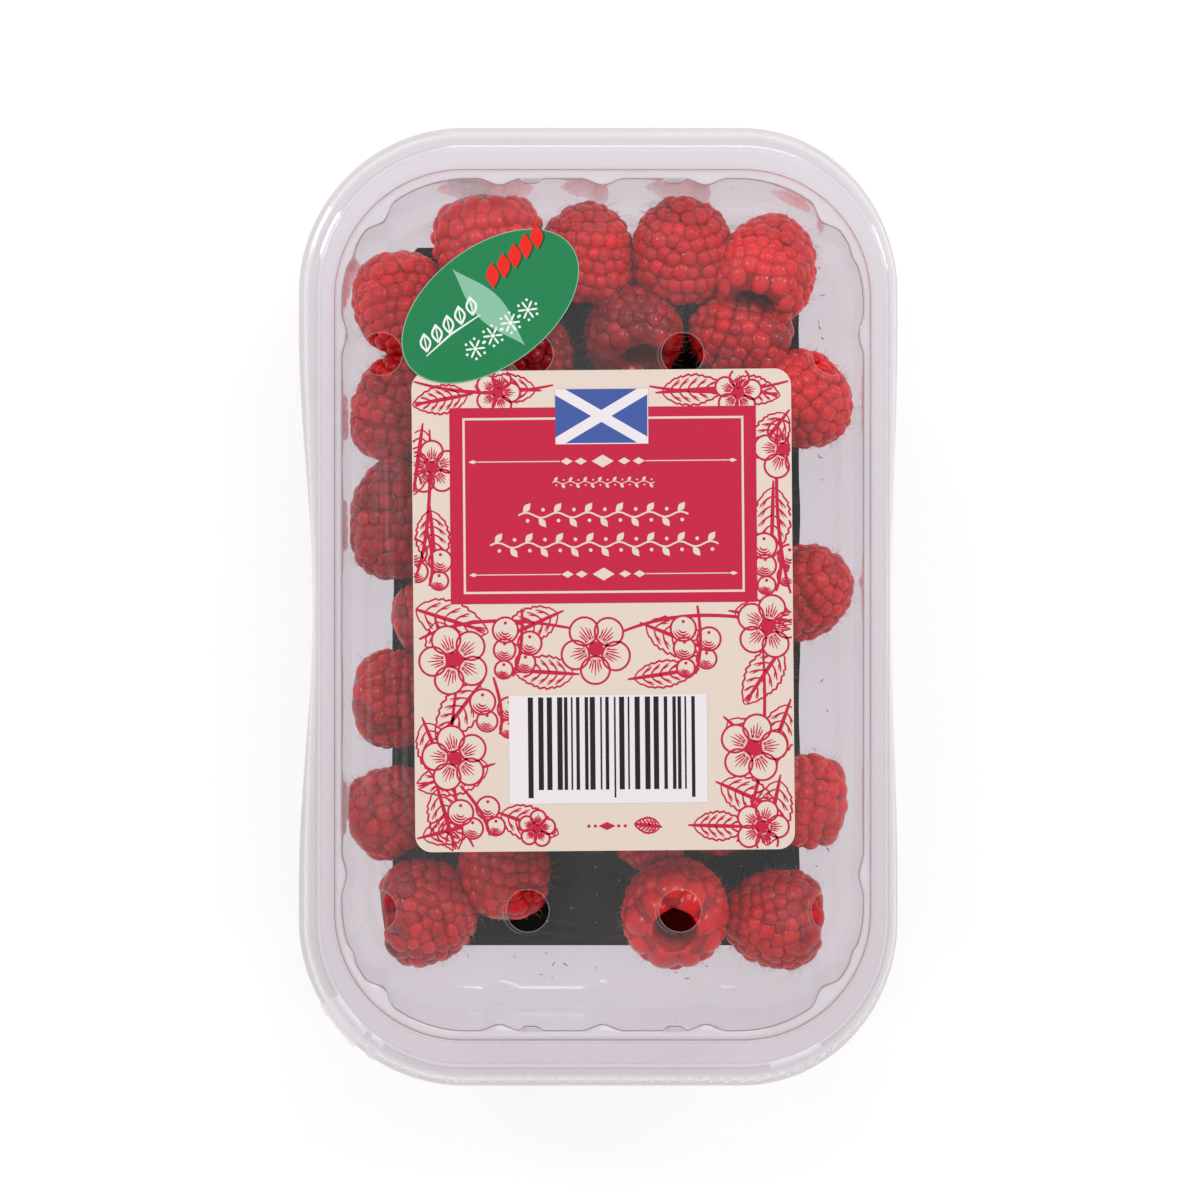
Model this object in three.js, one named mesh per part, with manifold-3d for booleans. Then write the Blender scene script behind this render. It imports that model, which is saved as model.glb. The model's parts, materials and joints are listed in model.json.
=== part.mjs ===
// A shallow clear plastic punnet of raspberries, closed by a clear film lid with vent holes.
// A paper label and an oval sticker lie on the film, and the berries lie on a black soaker pad.
// Millimetres. +Y runs along the punnet, +X across it, +Z up, and the origin is the middle of its foot.

import * as THREE from "three";
import { mergeVertices } from "three/addons/utils/BufferGeometryUtils.js";
import Module from "manifold-3d";

const wasm = await Module();
wasm.setup();

// Overall size
const LENGTH = 190;
const WIDTH = 118.8;
const HEIGHT = 36;

// Thickness of each sheet, counted down from the top: sticker, label, film
const STICKER = 0.16;
const LABEL = 0.16;
const FILM = 0.2;
const AIR = 0.02; // gap between sheets that lie on each other
const LABEL_BASE = HEIGHT - STICKER - LABEL - AIR;
const FILM_BASE = LABEL_BASE - AIR - FILM;

// Tray, made of one formed sheet
const SHEET = 0.6;
const FLANGE_TOP = FILM_BASE - AIR;
const LEDGE_DROP = 4; // from the flange down to the ledge inside it
const LEDGE_LIP = 0.5; // how far the ledge stands in from the mouth
const LUG_HEIGHT = 5; // from the ledge down to the foot of the lugs
const LEDGE_ROUND = 0.2;
const EDGE_ROUND = 0.4; // where the flange bends down at the mouth
const BEAD_ROUND = 0.5; // where the flange bends down at the bead
const BEAD_FLARE = 0.12; // share of the flare that the bead's bend takes
const SKIRT_DROP = 3.2; // from the flange down to the edge of the skirt
const FILLET = 4.4; // inside radius between floor and wall

// Outlines of the tray: half width, half length, corner radius and centre
const BEAD = { half: [56.7, 91.3], corner: 29.2, centre: [0.9, 0] };
const MOUTH = { half: [52.96, 86], corner: 25.4, centre: [0.9, 0.4] };
const WALL_TOP = { half: [51.6, 84.4], corner: 24.7, centre: [0.9, 0.4] };
const WALL_FOOT = { half: [51, 80.8], corner: 22, centre: [0.9, 0.4] };

// How far the skirt flares out beyond the bead: at the ends, at the left and at the right
const FLARE_END = LENGTH / 2 - BEAD.half[1];
const FLARE_LEFT = WIDTH / 2 - BEAD.half[0] + BEAD.centre[0];
const FLARE_RIGHT = WIDTH / 2 - BEAD.half[0] - BEAD.centre[0];
const WAIST_REACH = 55.5; // the flare shrinks towards the middle of the long sides
const WAIST_LOSS = 0.8;
const FILM_REACH = 0.62; // share of the skirt that the film covers
const FILM_CLEAR = 0.25; // gap between skirt and film
const FILM_BEND = 0.4; // how far inside the bead the film starts to bend down

// Flutes that stiffen the wall, pressed inwards: place, depth and half width
const SIDE_FLUTE = { at: 53.5, depth: 0.9, reach: 4.5 };
const END_FLUTES = [-20.5, 0, 20.5];
const END_FLUTE = { depth: 1.25, reach: 4.3 };
const CORNER_FLUTE = { at: 45, depth: 1.6, reach: 10 };
const CORNER_KINK = { at: 22.5, depth: 0.4, reach: 6 };
const LUG = { at: 14.25, depth: 0.9, reach: 2.4 };

// Vent holes in the film, two rows of four
const VENT_RADIUS = 4.17;
const VENT_SIDES = 18;
const VENTS = 4;
const VENT_ROWS = [
  { y: 50, first: -42.9, pitch: 29.8 },
  { y: -60.05, first: -44, pitch: 30.1 },
];

// Label, sticker and soaker pad
const LABEL_PLATE = { size: [75, 95], corner: 3.3, centre: [1, -0.7], turn: 0.5 };
const STICKER_OVAL = { half: [20, 11.9], centre: [-21.3, 59.4], turn: 36.7 };
const STICKER_CLEAR = 0.1; // gap between the label's edge and the sticker that bends down beside it
const PAD = { size: [82.9, 141.7], corner: 5.2, centre: [-0.4, 2.05], thick: 1.2 };
const PAD_RIPPLE = { depth: 0.3, steps: 12, turn: 2.1 };
const PAD_BASE = SHEET + AIR;
const PAD_TOP = PAD_BASE + PAD.thick;

// Berries that show: place, width, length, heading of the tip and how far it is tipped up.
// A heading is in degrees, anticlockwise from +X, and a hollow berry shows its open end.
const SHOWN = [
  { at: [-21.9, 71.8], width: 23, length: 22, heading: 278, tip: 6, hollow: true },
  { at: [-2.3, 71.7], width: 20.4, length: 20.8, heading: 85, tip: 12 },
  { at: [17, 72.7], width: 21.6, length: 21.8, heading: 88, tip: 25 },
  { at: [34.3, 68.8], width: 20.8, length: 23.6, heading: 70, tip: -35, hollow: true },
  { at: [-39.8, 60.2], width: 19.8, length: 21.4, heading: 276, tip: 26 },
  { at: [6.8, 56], width: 20.4, length: 18.8, heading: 105, tip: -40, hollow: true },
  { at: [28, 54.5], width: 19.6, length: 21, heading: 160, tip: 10 },
  { at: [-41.2, 40.6], width: 17.8, length: 22.2, heading: 80, tip: 20 },
  { at: [42.2, 41], width: 19.6, length: 20, heading: 320, tip: 20 },
  { at: [-13.9, 51.2], width: 18.5, length: 19, heading: 340, tip: 0 },
  { at: [-41.1, 18.3], width: 19, length: 25, heading: 92, tip: 18 },
  { at: [-31.6, -1.7], width: 17, length: 19, heading: 20, tip: 15 },
  { at: [42.3, 3.6], width: 19.4, length: 20, heading: 30, tip: 35 },
  { at: [-39.8, -18.5], width: 20.4, length: 18.4, heading: 0, tip: 10 },
  { at: [31, -14.8], width: 18, length: 19, heading: 60, tip: 10 },
  { at: [-41.2, -40.8], width: 18.6, length: 19.4, heading: 30, tip: 10 },
  { at: [40.3, -39.1], width: 19.6, length: 19.2, heading: 176, tip: 5 },
  { at: [-18.9, -52.4], width: 19.6, length: 20.4, heading: 80, tip: 12 },
  { at: [-33.7, -61.3], width: 22, length: 20, heading: 8, tip: 0, hollow: true },
  { at: [15.5, -60.6], width: 22, length: 26, heading: 88, tip: -72, hollow: true },
  { at: [34.9, -62.8], width: 20.6, length: 21.2, heading: 176, tip: 0, hollow: true },
  { at: [24, -41.5], width: 18, length: 18.5, heading: 280, tip: 10 },
];

// Berries under the label, in rows
const COVERED = [
  [-24, 35], [-4.5, 36], [16.5, 36.5],
  [-21.5, 16.5], [-1.5, 17], [19.5, 18],
  [-12, -1.5], [8, -2], [25.5, 3],
  [-20.5, -17], [-1, -21], [14, -17],
  [-24.5, -36.5], [10.5, -44.5],
];
const COVERED_WIDTH = 18.2;
const COVERED_LENGTH = 19.2;
const COVERED_TURN = 77; // each one is turned this much more than the last
const COVERED_TIP = 12; // step between their tip angles, which come in turn
const COVERED_TIPS = 3;

// Core under the covered berries, which joins the heap
const CORE = { size: [66, 100], corner: 12, centre: [0, 0], height: 6 };
const HEAP_CLEAR = 0.35; // gap between the heap and the wall
const HEAP_FOOT_IN = 2.4; // how much further in the heap stays at the foot's fillet
const HEAP_ROOM = 8; // from the flange down to the top of the room for the heap
const HEAP_BASE = PAD_TOP + 0.05;

// Share of the width at each share of the length, from the open end to the tip
const BERRY_PROFILE = [
  [0, 0.54], [0.1, 0.84], [0.28, 1], [0.54, 0.97], [0.74, 0.82], [0.88, 0.57], [0.97, 0.3],
];
const HOLLOW_PROFILE = [[0.55, 0.16], [0.06, 0.36]];
const HOLLOW_END = 0.58; // where the hollow ends, as a share of the length
const BERRY_DISH = 0.02; // how far a berry without a hollow is dished at its open end
const BUMP = 0.05; // height of its bumps, as a share of its radius
const SETTLE = 0.98; // a berry sinks into the pad a little
const SHOWN_SIDES = 10;
const COVERED_SIDES = 8;

const radians = THREE.MathUtils.degToRad;

// A smooth bump, one at its middle and nothing beyond its reach
function swell(distance, reach) {
  const share = Math.min(Math.abs(distance) / reach, 1);
  return Math.cos((share * Math.PI) / 2) ** 2;
}

// A bump with a flat middle and steep flanks
function block(distance, reach) {
  return THREE.MathUtils.clamp((2 * (reach - Math.abs(distance))) / reach, 0, 1);
}

// Stations round an outline, anticlockwise from the middle of the right side
function makeStations(sideSteps, cornerSteps, endSteps) {
  const quarter = (flipX, flipY) => [
    ...sideSteps.map((along) => ({ kind: "side", flipX, flipY, along })),
    ...cornerSteps.map((angle) => ({ kind: "corner", flipX, flipY, angle })),
    ...endSteps.map((along) => ({ kind: "end", flipX, flipY, along })),
  ];
  const upRight = quarter(1, 1);
  const upLeft = quarter(-1, 1).reverse();
  const lowLeft = quarter(-1, -1);
  const lowRight = quarter(1, -1).reverse();
  const onAxis = (a, b) => a.kind === b.kind && a.kind !== "corner" && a.along === 0 && b.along === 0;
  const loop = [];
  for (const station of [...upRight, ...upLeft, ...lowLeft, ...lowRight]) {
    const last = loop[loop.length - 1];
    if (!last || !onAxis(last, station)) {
      loop.push(station);
    }
  }
  if (onAxis(loop[loop.length - 1], loop[0])) {
    loop.pop();
  }
  return loop;
}

const TRAY_STATIONS = makeStations(
  [0, 12, 24, 36, 46, 49.5, 51.5, 53.5, 55.5],
  [0, 11.25, 22.5, 33, 37, 41, 45, 49, 53, 57, 67.5, 78.75, 90],
  [24.5, 22.5, 20.5, 18.5, 16.6, 15.3, 13.2, 11.9, 4, 2, 0],
);
const LID_STATIONS = makeStations(
  [0, 12, 24, 36, 46, 55.5],
  [0, 11.25, 22.5, 33.75, 45, 56.25, 67.5, 78.75, 90],
  [24.5, 12, 0],
);

// How far the wall is pressed inwards at a station
function fluteDepth(station) {
  if (station.kind === "side") {
    return SIDE_FLUTE.depth * swell(station.along - SIDE_FLUTE.at, SIDE_FLUTE.reach);
  }
  if (station.kind === "corner") {
    const main = CORNER_FLUTE.depth * swell(station.angle - CORNER_FLUTE.at, CORNER_FLUTE.reach);
    const kink = CORNER_KINK.depth * swell(station.angle - CORNER_KINK.at, CORNER_KINK.reach);
    return main + kink;
  }
  const along = station.along * station.flipX;
  const flutes = END_FLUTES.map((at) => swell(along - at, END_FLUTE.reach));
  return END_FLUTE.depth * Math.max(...flutes);
}

// How far the lugs that keep stacked trays apart stand in from the wall's top
function lugDepth(station) {
  return station.kind === "end" ? LUG.depth * block(station.along - LUG.at, LUG.reach) : 0;
}

// How far the skirt flares out at a station
function flareReach(station) {
  const side = station.flipX > 0 ? FLARE_RIGHT : FLARE_LEFT;
  if (station.kind === "end") {
    return FLARE_END;
  }
  if (station.kind === "side") {
    return side * (1 - WAIST_LOSS * swell(station.along, WAIST_REACH));
  }
  return side + (FLARE_END - side) * Math.sin(radians(station.angle)) ** 2;
}

// Points of one outline at one height; grow widens it, and push moves each station outwards
function outline(stations, shape, z, grow = 0, push = () => 0) {
  const [halfWidth, halfLength] = shape.half;
  const [centreX, centreY] = shape.centre;
  return stations.map((station) => {
    const out = grow + push(station);
    if (station.kind === "side") {
      const x = (halfWidth + out) * station.flipX;
      return new THREE.Vector3(centreX + x, centreY + station.along * station.flipY, z);
    }
    if (station.kind === "end") {
      const y = (halfLength + out) * station.flipY;
      return new THREE.Vector3(centreX + station.along * station.flipX, centreY + y, z);
    }
    const radius = shape.corner + out;
    const x = halfWidth - shape.corner + radius * Math.cos(radians(station.angle));
    const y = halfLength - shape.corner + radius * Math.sin(radians(station.angle));
    return new THREE.Vector3(centreX + x * station.flipX, centreY + y * station.flipY, z);
  });
}

// Geometry of a closed solid from its points and triangles, turned to face out
function solidGeometry(points, triangles) {
  let volume = 0;
  for (const [a, b, c] of triangles) {
    volume += points[a].dot(new THREE.Vector3().crossVectors(points[b], points[c]));
  }
  const index = triangles.flatMap(([a, b, c]) => (volume > 0 ? [a, b, c] : [a, c, b]));
  const geometry = new THREE.BufferGeometry().setFromPoints(points);
  geometry.setIndex(index);
  return geometry;
}

// A closed solid through rings of equal count, with a fan at each end
function loft(rings, firstCentre, lastCentre) {
  const count = rings[0].length;
  const points = [...rings.flat(), firstCentre, lastCentre];
  const first = points.length - 2;
  const last = points.length - 1;
  const triangles = [];
  for (let ring = 0; ring + 1 < rings.length; ring += 1) {
    for (let i = 0; i < count; i += 1) {
      const j = (i + 1) % count;
      const low = ring * count;
      const high = low + count;
      triangles.push([low + i, low + j, high + j], [low + i, high + j, high + i]);
    }
  }
  const top = (rings.length - 1) * count;
  for (let i = 0; i < count; i += 1) {
    const j = (i + 1) % count;
    triangles.push([first, j, i], [last, top + i, top + j]);
  }
  return solidGeometry(points, triangles);
}

// Middle of a ring, for the fan that closes it
function middleOf(shape, z) {
  return new THREE.Vector3(shape.centre[0], shape.centre[1], z);
}

// The floor and the round foot of the wall, from the floor's edge upwards
function footRings(push, grow, base, radius, foot) {
  const rings = [];
  for (const angle of [0, 45, 90]) {
    const inset = (FILLET + grow) * (1 - Math.sin(radians(angle)));
    const z = base + radius * (1 - Math.cos(radians(angle)));
    rings.push(outline(TRAY_STATIONS, foot, z, grow - inset, push));
  }
  return rings;
}

// The tray: up the inside, over the ledge, the flange and the bead, down the skirt and back underneath
function trayGeometry() {
  const flutes = (station) => -fluteDepth(station);
  const wallTop = (station) => -Math.max(fluteDepth(station), lugDepth(station));
  const flare = (share) => (station) => share * flareReach(station);
  const ledge = FLANGE_TOP - LEDGE_DROP;
  const edge = FLANGE_TOP - SKIRT_DROP;
  const ring = (shape, z, grow, push) => outline(TRAY_STATIONS, shape, z, grow, push);
  const inside = [
    ...footRings(flutes, 0, SHEET, FILLET, WALL_FOOT),
    ring(WALL_TOP, ledge - LUG_HEIGHT, 0, flutes),
    ring(WALL_TOP, ledge - LEDGE_ROUND, 0, wallTop),
    ring(MOUTH, ledge, -LEDGE_LIP),
    ring(MOUTH, FLANGE_TOP - EDGE_ROUND, 0),
    ring(MOUTH, FLANGE_TOP, EDGE_ROUND),
  ];
  const brim = [
    ring(BEAD, FLANGE_TOP, -BEAD_ROUND),
    ring(BEAD, FLANGE_TOP - BEAD_ROUND, 0, flare(BEAD_FLARE)),
    ring(BEAD, edge, 0, flare(1)),
    ring(BEAD, edge, -SHEET, flare(1)),
    ring(BEAD, FLANGE_TOP - SHEET - EDGE_ROUND, -SHEET, flare(BEAD_FLARE)),
  ];
  const underside = [
    ring(MOUTH, FLANGE_TOP - SHEET - EDGE_ROUND, SHEET),
    ring(MOUTH, ledge - SHEET, SHEET - LEDGE_LIP),
    ring(WALL_TOP, ledge - SHEET, SHEET, wallTop),
    ring(WALL_TOP, ledge - LUG_HEIGHT, SHEET, flutes),
    ...footRings(flutes, SHEET, 0, FILLET + SHEET, WALL_FOOT).reverse(),
  ];
  const rings = [...inside, ...brim, ...underside];
  return loft(rings, middleOf(WALL_FOOT, SHEET), middleOf(WALL_FOOT, 0));
}

function toManifold(geometry) {
  const bare = geometry.clone();
  bare.deleteAttribute("normal");
  bare.deleteAttribute("uv");
  const merged = mergeVertices(bare, 1e-4);
  return new wasm.Manifold(new wasm.Mesh({
    numProp: 3,
    vertProperties: new Float32Array(merged.attributes.position.array),
    triVerts: new Uint32Array(merged.index.array),
  }));
}

function fromManifold(solid) {
  const mesh = solid.getMesh();
  const geometry = new THREE.BufferGeometry();
  geometry.setAttribute("position", new THREE.Float32BufferAttribute(mesh.vertProperties, 3));
  geometry.setIndex(Array.from(mesh.triVerts));
  return geometry;
}

// A flat plate between two heights, turned about its centre
function plateGeometry(shape, base, thick, centre, turn = 0) {
  const geometry = new THREE.ExtrudeGeometry(shape, { depth: thick, bevelEnabled: false, curveSegments: 4 });
  geometry.rotateZ(radians(turn));
  geometry.translate(centre[0], centre[1], base);
  return geometry;
}

function roundedRectangle([width, length], corner) {
  const [x, y] = [width / 2, length / 2];
  const shape = new THREE.Shape();
  shape.moveTo(x, corner - y);
  shape.lineTo(x, y - corner);
  shape.absarc(x - corner, y - corner, corner, 0, Math.PI / 2);
  shape.lineTo(corner - x, y);
  shape.absarc(corner - x, y - corner, corner, Math.PI / 2, Math.PI);
  shape.lineTo(-x, corner - y);
  shape.absarc(corner - x, corner - y, corner, Math.PI, Math.PI * 1.5);
  shape.lineTo(x - corner, -y);
  shape.absarc(x - corner, corner - y, corner, Math.PI * 1.5, Math.PI * 2);
  return shape;
}

// The film: flat over the flange, down over the bead and part of the skirt, with its vent holes
function filmGeometry() {
  const top = FILM_BASE + FILM;
  const edge = FLANGE_TOP - SKIRT_DROP * FILM_REACH;
  const flare = (share) => (station) => share * flareReach(station);
  const ring = (z, grow, share) => outline(LID_STATIONS, BEAD, z, grow, flare(share));
  const bend = top - BEAD_ROUND;
  const rings = [
    ring(top, -FILM_BEND, 0),
    ring(bend, FILM_CLEAR + FILM, BEAD_FLARE),
    ring(edge, FILM_CLEAR + FILM, FILM_REACH),
    ring(edge, FILM_CLEAR, FILM_REACH),
    ring(bend - FILM / 4, FILM_CLEAR, BEAD_FLARE),
    ring(FILM_BASE, FILM / 4 - FILM_BEND, 0),
  ];
  let film = toManifold(loft(rings, middleOf(BEAD, top), middleOf(BEAD, FILM_BASE)));
  for (const row of VENT_ROWS) {
    for (let i = 0; i < VENTS; i += 1) {
      const hole = new THREE.CylinderGeometry(VENT_RADIUS, VENT_RADIUS, LEDGE_DROP, VENT_SIDES);
      hole.rotateX(Math.PI / 2);
      hole.translate(row.first + i * row.pitch, row.y, top);
      film = film.subtract(toManifold(hole));
    }
  }
  return fromManifold(film);
}

function labelGeometry() {
  const shape = roundedRectangle(LABEL_PLATE.size, LABEL_PLATE.corner);
  return plateGeometry(shape, LABEL_BASE, LABEL, LABEL_PLATE.centre, LABEL_PLATE.turn);
}

// The sticker lies on the film, and laps over a corner of the label
function stickerGeometry() {
  const shape = new THREE.Shape();
  shape.absellipse(0, 0, STICKER_OVAL.half[0], STICKER_OVAL.half[1], 0, Math.PI * 2);
  const options = { depth: HEIGHT - LABEL_BASE, bevelEnabled: false, curveSegments: 28 };
  const oval = new THREE.ExtrudeGeometry(shape, options);
  oval.rotateZ(radians(STICKER_OVAL.turn));
  oval.translate(STICKER_OVAL.centre[0], STICKER_OVAL.centre[1], LABEL_BASE);
  const size = LABEL_PLATE.size.map((side) => side + 2 * STICKER_CLEAR);
  const grown = roundedRectangle(size, LABEL_PLATE.corner);
  const base = LABEL_BASE - LABEL;
  const label = plateGeometry(grown, base, 2 * LABEL + AIR, LABEL_PLATE.centre, LABEL_PLATE.turn);
  return fromManifold(toManifold(oval).subtract(toManifold(label)));
}

// The soaker pad, with slightly uneven cut edges
function padGeometry() {
  const [x, y] = PAD.size.map((size) => size / 2);
  const { depth, steps, turn } = PAD_RIPPLE;
  const shape = new THREE.Shape();
  const wobble = (i, phase) => (depth * (Math.sin(turn * i + phase) - 1)) / 2;
  const along = (i) => (i / steps) * 2 - 1;
  shape.moveTo(x - PAD.corner, -y);
  for (let i = 0; i <= steps; i += 1) {
    shape.lineTo(x + wobble(i, 0), along(i) * (y - PAD.corner));
  }
  shape.lineTo(x - PAD.corner, y);
  shape.lineTo(PAD.corner - x, y);
  for (let i = 0; i <= steps; i += 1) {
    shape.lineTo(-x - wobble(i, 2), -along(i) * (y - PAD.corner));
  }
  shape.lineTo(PAD.corner - x, -y);
  shape.closePath();
  return plateGeometry(shape, PAD_BASE, PAD.thick, PAD.centre);
}

// A berry along +X, from its open end to its tip: rings of bumps, and a hollow where it shows
function berryGeometry(width, length, sides, profile, hollow) {
  const rings = profile.map(([share, radius], row) => {
    const points = [];
    for (let i = 0; i < sides; i += 1) {
      const angle = (i / sides) * Math.PI * 2;
      const bump = 1 + BUMP * ((i + row) % 2 === 0 ? 1 : -1);
      const reach = (width / 2) * radius * bump;
      const x = length * (share - 0.5);
      points.push(new THREE.Vector3(x, reach * Math.cos(angle), reach * Math.sin(angle)));
    }
    return points;
  });
  const inner = hollow ? HOLLOW_PROFILE : [];
  const innerRings = inner.map(([share, radius]) => rings[0].map((point) => {
    const scale = radius / profile[0][1];
    return new THREE.Vector3(length * (share - 0.5), point.y * scale, point.z * scale);
  }));
  const start = hollow ? HOLLOW_END : BERRY_DISH;
  const first = new THREE.Vector3(length * (start - 0.5), 0, 0);
  const tip = new THREE.Vector3(length / 2, 0, 0);
  return loft([...innerRings, ...rings], first, tip);
}

// A berry turned to its heading and tip angle, resting on the pad
function placedBerry({ at, width, length, heading, tip, hollow }, sides, profile) {
  const geometry = berryGeometry(width, length, sides, profile, hollow);
  const rise = radians(tip);
  const half = Math.hypot((width / 2) * Math.cos(rise), (length / 2) * Math.sin(rise));
  geometry.rotateY(-rise);
  geometry.rotateZ(radians(heading));
  geometry.translate(at[0], at[1], HEAP_BASE + half * SETTLE);
  return toManifold(geometry);
}

// The heap: the berries that show, plainer ones under the label, and a low core that joins them
function heapGeometry() {
  const corePlate = roundedRectangle(CORE.size, CORE.corner);
  let heap = toManifold(plateGeometry(corePlate, HEAP_BASE, CORE.height, CORE.centre));
  for (const berry of SHOWN) {
    heap = heap.add(placedBerry(berry, SHOWN_SIDES, BERRY_PROFILE));
  }
  const plain = BERRY_PROFILE.filter((_, row) => row % 2 === 0);
  COVERED.forEach((at, i) => {
    const heading = i * COVERED_TURN;
    const tip = (i % COVERED_TIPS) * COVERED_TIP;
    const berry = { at, width: COVERED_WIDTH, length: COVERED_LENGTH, heading, tip };
    heap = heap.add(placedBerry(berry, COVERED_SIDES, plain));
  });
  const flutes = (station) => -fluteDepth(station);
  const ring = (shape, z, inset) => outline(TRAY_STATIONS, shape, z, -inset, flutes);
  const top = FLANGE_TOP - HEAP_ROOM;
  const rings = [
    ring(WALL_FOOT, HEAP_BASE, HEAP_CLEAR + HEAP_FOOT_IN),
    ring(WALL_FOOT, SHEET + FILLET, HEAP_CLEAR),
    ring(WALL_TOP, top, HEAP_CLEAR),
  ];
  const room = loft(rings, middleOf(WALL_FOOT, HEAP_BASE), middleOf(WALL_TOP, top));
  return fromManifold(heap.intersect(toManifold(room)));
}

const MATERIALS = {
  tray: { color: 0xd9d4dc, roughness: 0.08, metalness: 0, transparent: true, opacity: 0.35 },
  film: { color: 0xe4e0e6, roughness: 0.12, metalness: 0, transparent: true, opacity: 0.25 },
  label: { color: 0xe8d8c8, roughness: 0.55, metalness: 0 },
  sticker: { color: 0x23875a, roughness: 0.45, metalness: 0 },
  pad: { color: 0x1d1f22, roughness: 0.5, metalness: 0 },
  berries: { color: 0xb02a38, roughness: 0.4, metalness: 0 },
};

const GEOMETRIES = {
  tray: trayGeometry(),
  pad: padGeometry(),
  berries: heapGeometry(),
  film: filmGeometry(),
  label: labelGeometry(),
  sticker: stickerGeometry(),
};

const punnet = new THREE.Group();
for (const [name, geometry] of Object.entries(GEOMETRIES)) {
  geometry.computeVertexNormals();
  const mesh = new THREE.Mesh(geometry, new THREE.MeshStandardMaterial(MATERIALS[name]));
  mesh.name = name;
  punnet.add(mesh);
}

export default punnet;
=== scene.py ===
# A clear punnet of raspberries under a vented film lid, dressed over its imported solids
# Sizes are in millimetres in the row frame, and make_piece turns them into metres

import json
import math

import bpy
import numpy as np
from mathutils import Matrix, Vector
from mathutils.geometry import delaunay_2d_cdt, tessellate_polygon

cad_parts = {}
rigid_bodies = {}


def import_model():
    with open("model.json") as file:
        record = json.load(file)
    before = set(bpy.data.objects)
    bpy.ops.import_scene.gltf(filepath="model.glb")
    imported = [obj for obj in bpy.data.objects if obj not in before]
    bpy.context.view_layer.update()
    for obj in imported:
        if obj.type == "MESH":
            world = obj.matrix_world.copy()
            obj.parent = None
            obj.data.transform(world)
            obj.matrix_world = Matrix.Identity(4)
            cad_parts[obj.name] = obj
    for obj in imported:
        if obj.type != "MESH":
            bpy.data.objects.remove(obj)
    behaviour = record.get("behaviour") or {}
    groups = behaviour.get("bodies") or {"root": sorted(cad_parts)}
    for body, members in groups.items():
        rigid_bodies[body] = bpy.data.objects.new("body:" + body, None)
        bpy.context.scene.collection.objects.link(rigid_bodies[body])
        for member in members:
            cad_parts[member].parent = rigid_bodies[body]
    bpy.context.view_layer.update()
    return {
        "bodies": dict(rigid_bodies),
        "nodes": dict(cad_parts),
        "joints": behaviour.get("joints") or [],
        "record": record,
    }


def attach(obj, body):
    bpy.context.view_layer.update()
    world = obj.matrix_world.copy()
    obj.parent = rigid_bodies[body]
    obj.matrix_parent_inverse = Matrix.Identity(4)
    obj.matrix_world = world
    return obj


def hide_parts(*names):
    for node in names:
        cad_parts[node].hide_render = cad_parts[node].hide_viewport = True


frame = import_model()
draw = np.random.default_rng(11)

MM = 0.001

# Overall size and the sheets that lie on each other, from the top down
LENGTH = 190.0
WIDTH = 118.8
HEIGHT = 36.0
PAPER = 0.16
FILM = 0.2
AIR = 0.02
LABEL_BASE = HEIGHT - 2 * PAPER - AIR
LABEL_TOP = LABEL_BASE + PAPER
FILM_BASE = LABEL_BASE - AIR - FILM
FILM_TOP = FILM_BASE + FILM

# Tray
SHEET = 0.6
FLANGE_TOP = FILM_BASE - AIR
LEDGE = FLANGE_TOP - 4.0
SHOULDER = LEDGE - 5
SKIRT_DROP = 3.2
SKIRT_EDGE = FLANGE_TOP - SKIRT_DROP
FILLET = 4.4
BEAD = {"half": (56.7, 91.3), "corner": 29.2, "centre": (0.9, 0.0)}
MOUTH = {"half": (52.96, 86.0), "corner": 25.4, "centre": (0.9, 0.4)}
WALL_TOP = {"half": (51.6, 84.4), "corner": 24.7, "centre": (0.9, 0.4)}
WALL_FOOT = {"half": (51.0, 80.8), "corner": 22.0, "centre": (0.9, 0.4)}
FLARE_END = LENGTH / 2 - BEAD["half"][1]
FLARE_LEFT = WIDTH / 2 - BEAD["half"][0] + BEAD["centre"][0]
FLARE_RIGHT = WIDTH / 2 - BEAD["half"][0] - BEAD["centre"][0]
WAIST_REACH = 55.5
WAIST_LOSS = 0.8
END_FLUTES = (-20.5, 0, 20.5)
END_FLUTE_REACH = 4.3
END_FLUTE_DEPTH = 1.25
FILM_REACH = 0.62
FILM_CLEAR = 0.25
FILM_FLAT = -0.4  # how far beyond the bead's outline the film's flat top ends

# Rings of the tray's section, in order: height, how far out, share of the push or flare, and tone, which
# paints shade (dark lines at bends, above 0.5) and light (lighter lines and a fading edge, below 0.5)
WALL_RINGS = [(-0.5, 0, 1, 0.5), (-0.3, 0.04, 1, 1.0), (-0.15, 0.12, 1, 0.9), (-0.03, 0.24, 1, 0.5)]
LEDGE_RINGS = [(0, -0.9, 0, 0.5), (0.12, -0.5, 0, 0.5)]
MOUTH_RINGS = [
    (-0.6, -0.05, 0, 0.5), (-0.3, 0.02, 0, 1.0), (-0.12, 0.1, 0, 0.8), (-0.03, 0.22, 0, 0.5),
    (0, 0.45, 0, 0.5), (0, 1.0, 0, 0.5),
]
BEAD_RINGS = [
    (0, -1.5, 0, 0.5), (0, -1.15, 0, 0.5), (0, -1.0, 0, 0.62), (0, -0.85, 0, 0.4), (0, -0.45, 0, 0.46),
    (-0.06, -0.22, 0.03, 0.62), (-0.3, 0, 0.08, 0.52), (-1.6, 0, 0.4, 0.56),
]
SKIRT_RINGS = [
    (0.8, 0, 0.75, 0.64), (0.3, 0, 0.92, 0.62), (0.1, 0, 0.98, 0.5), (0, -0.08, 1, 0.2), (0, -SHEET, 1, 0.1),
]
UNDER_BEAD_RINGS = [
    (-1.6, -SHEET, 0.4, 0.5), (-0.3, -SHEET, 0.08, 0.5), (0, -0.5 - SHEET, 0, 0.5), (0, -1.5 - SHEET, 0, 0.5),
]
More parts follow.
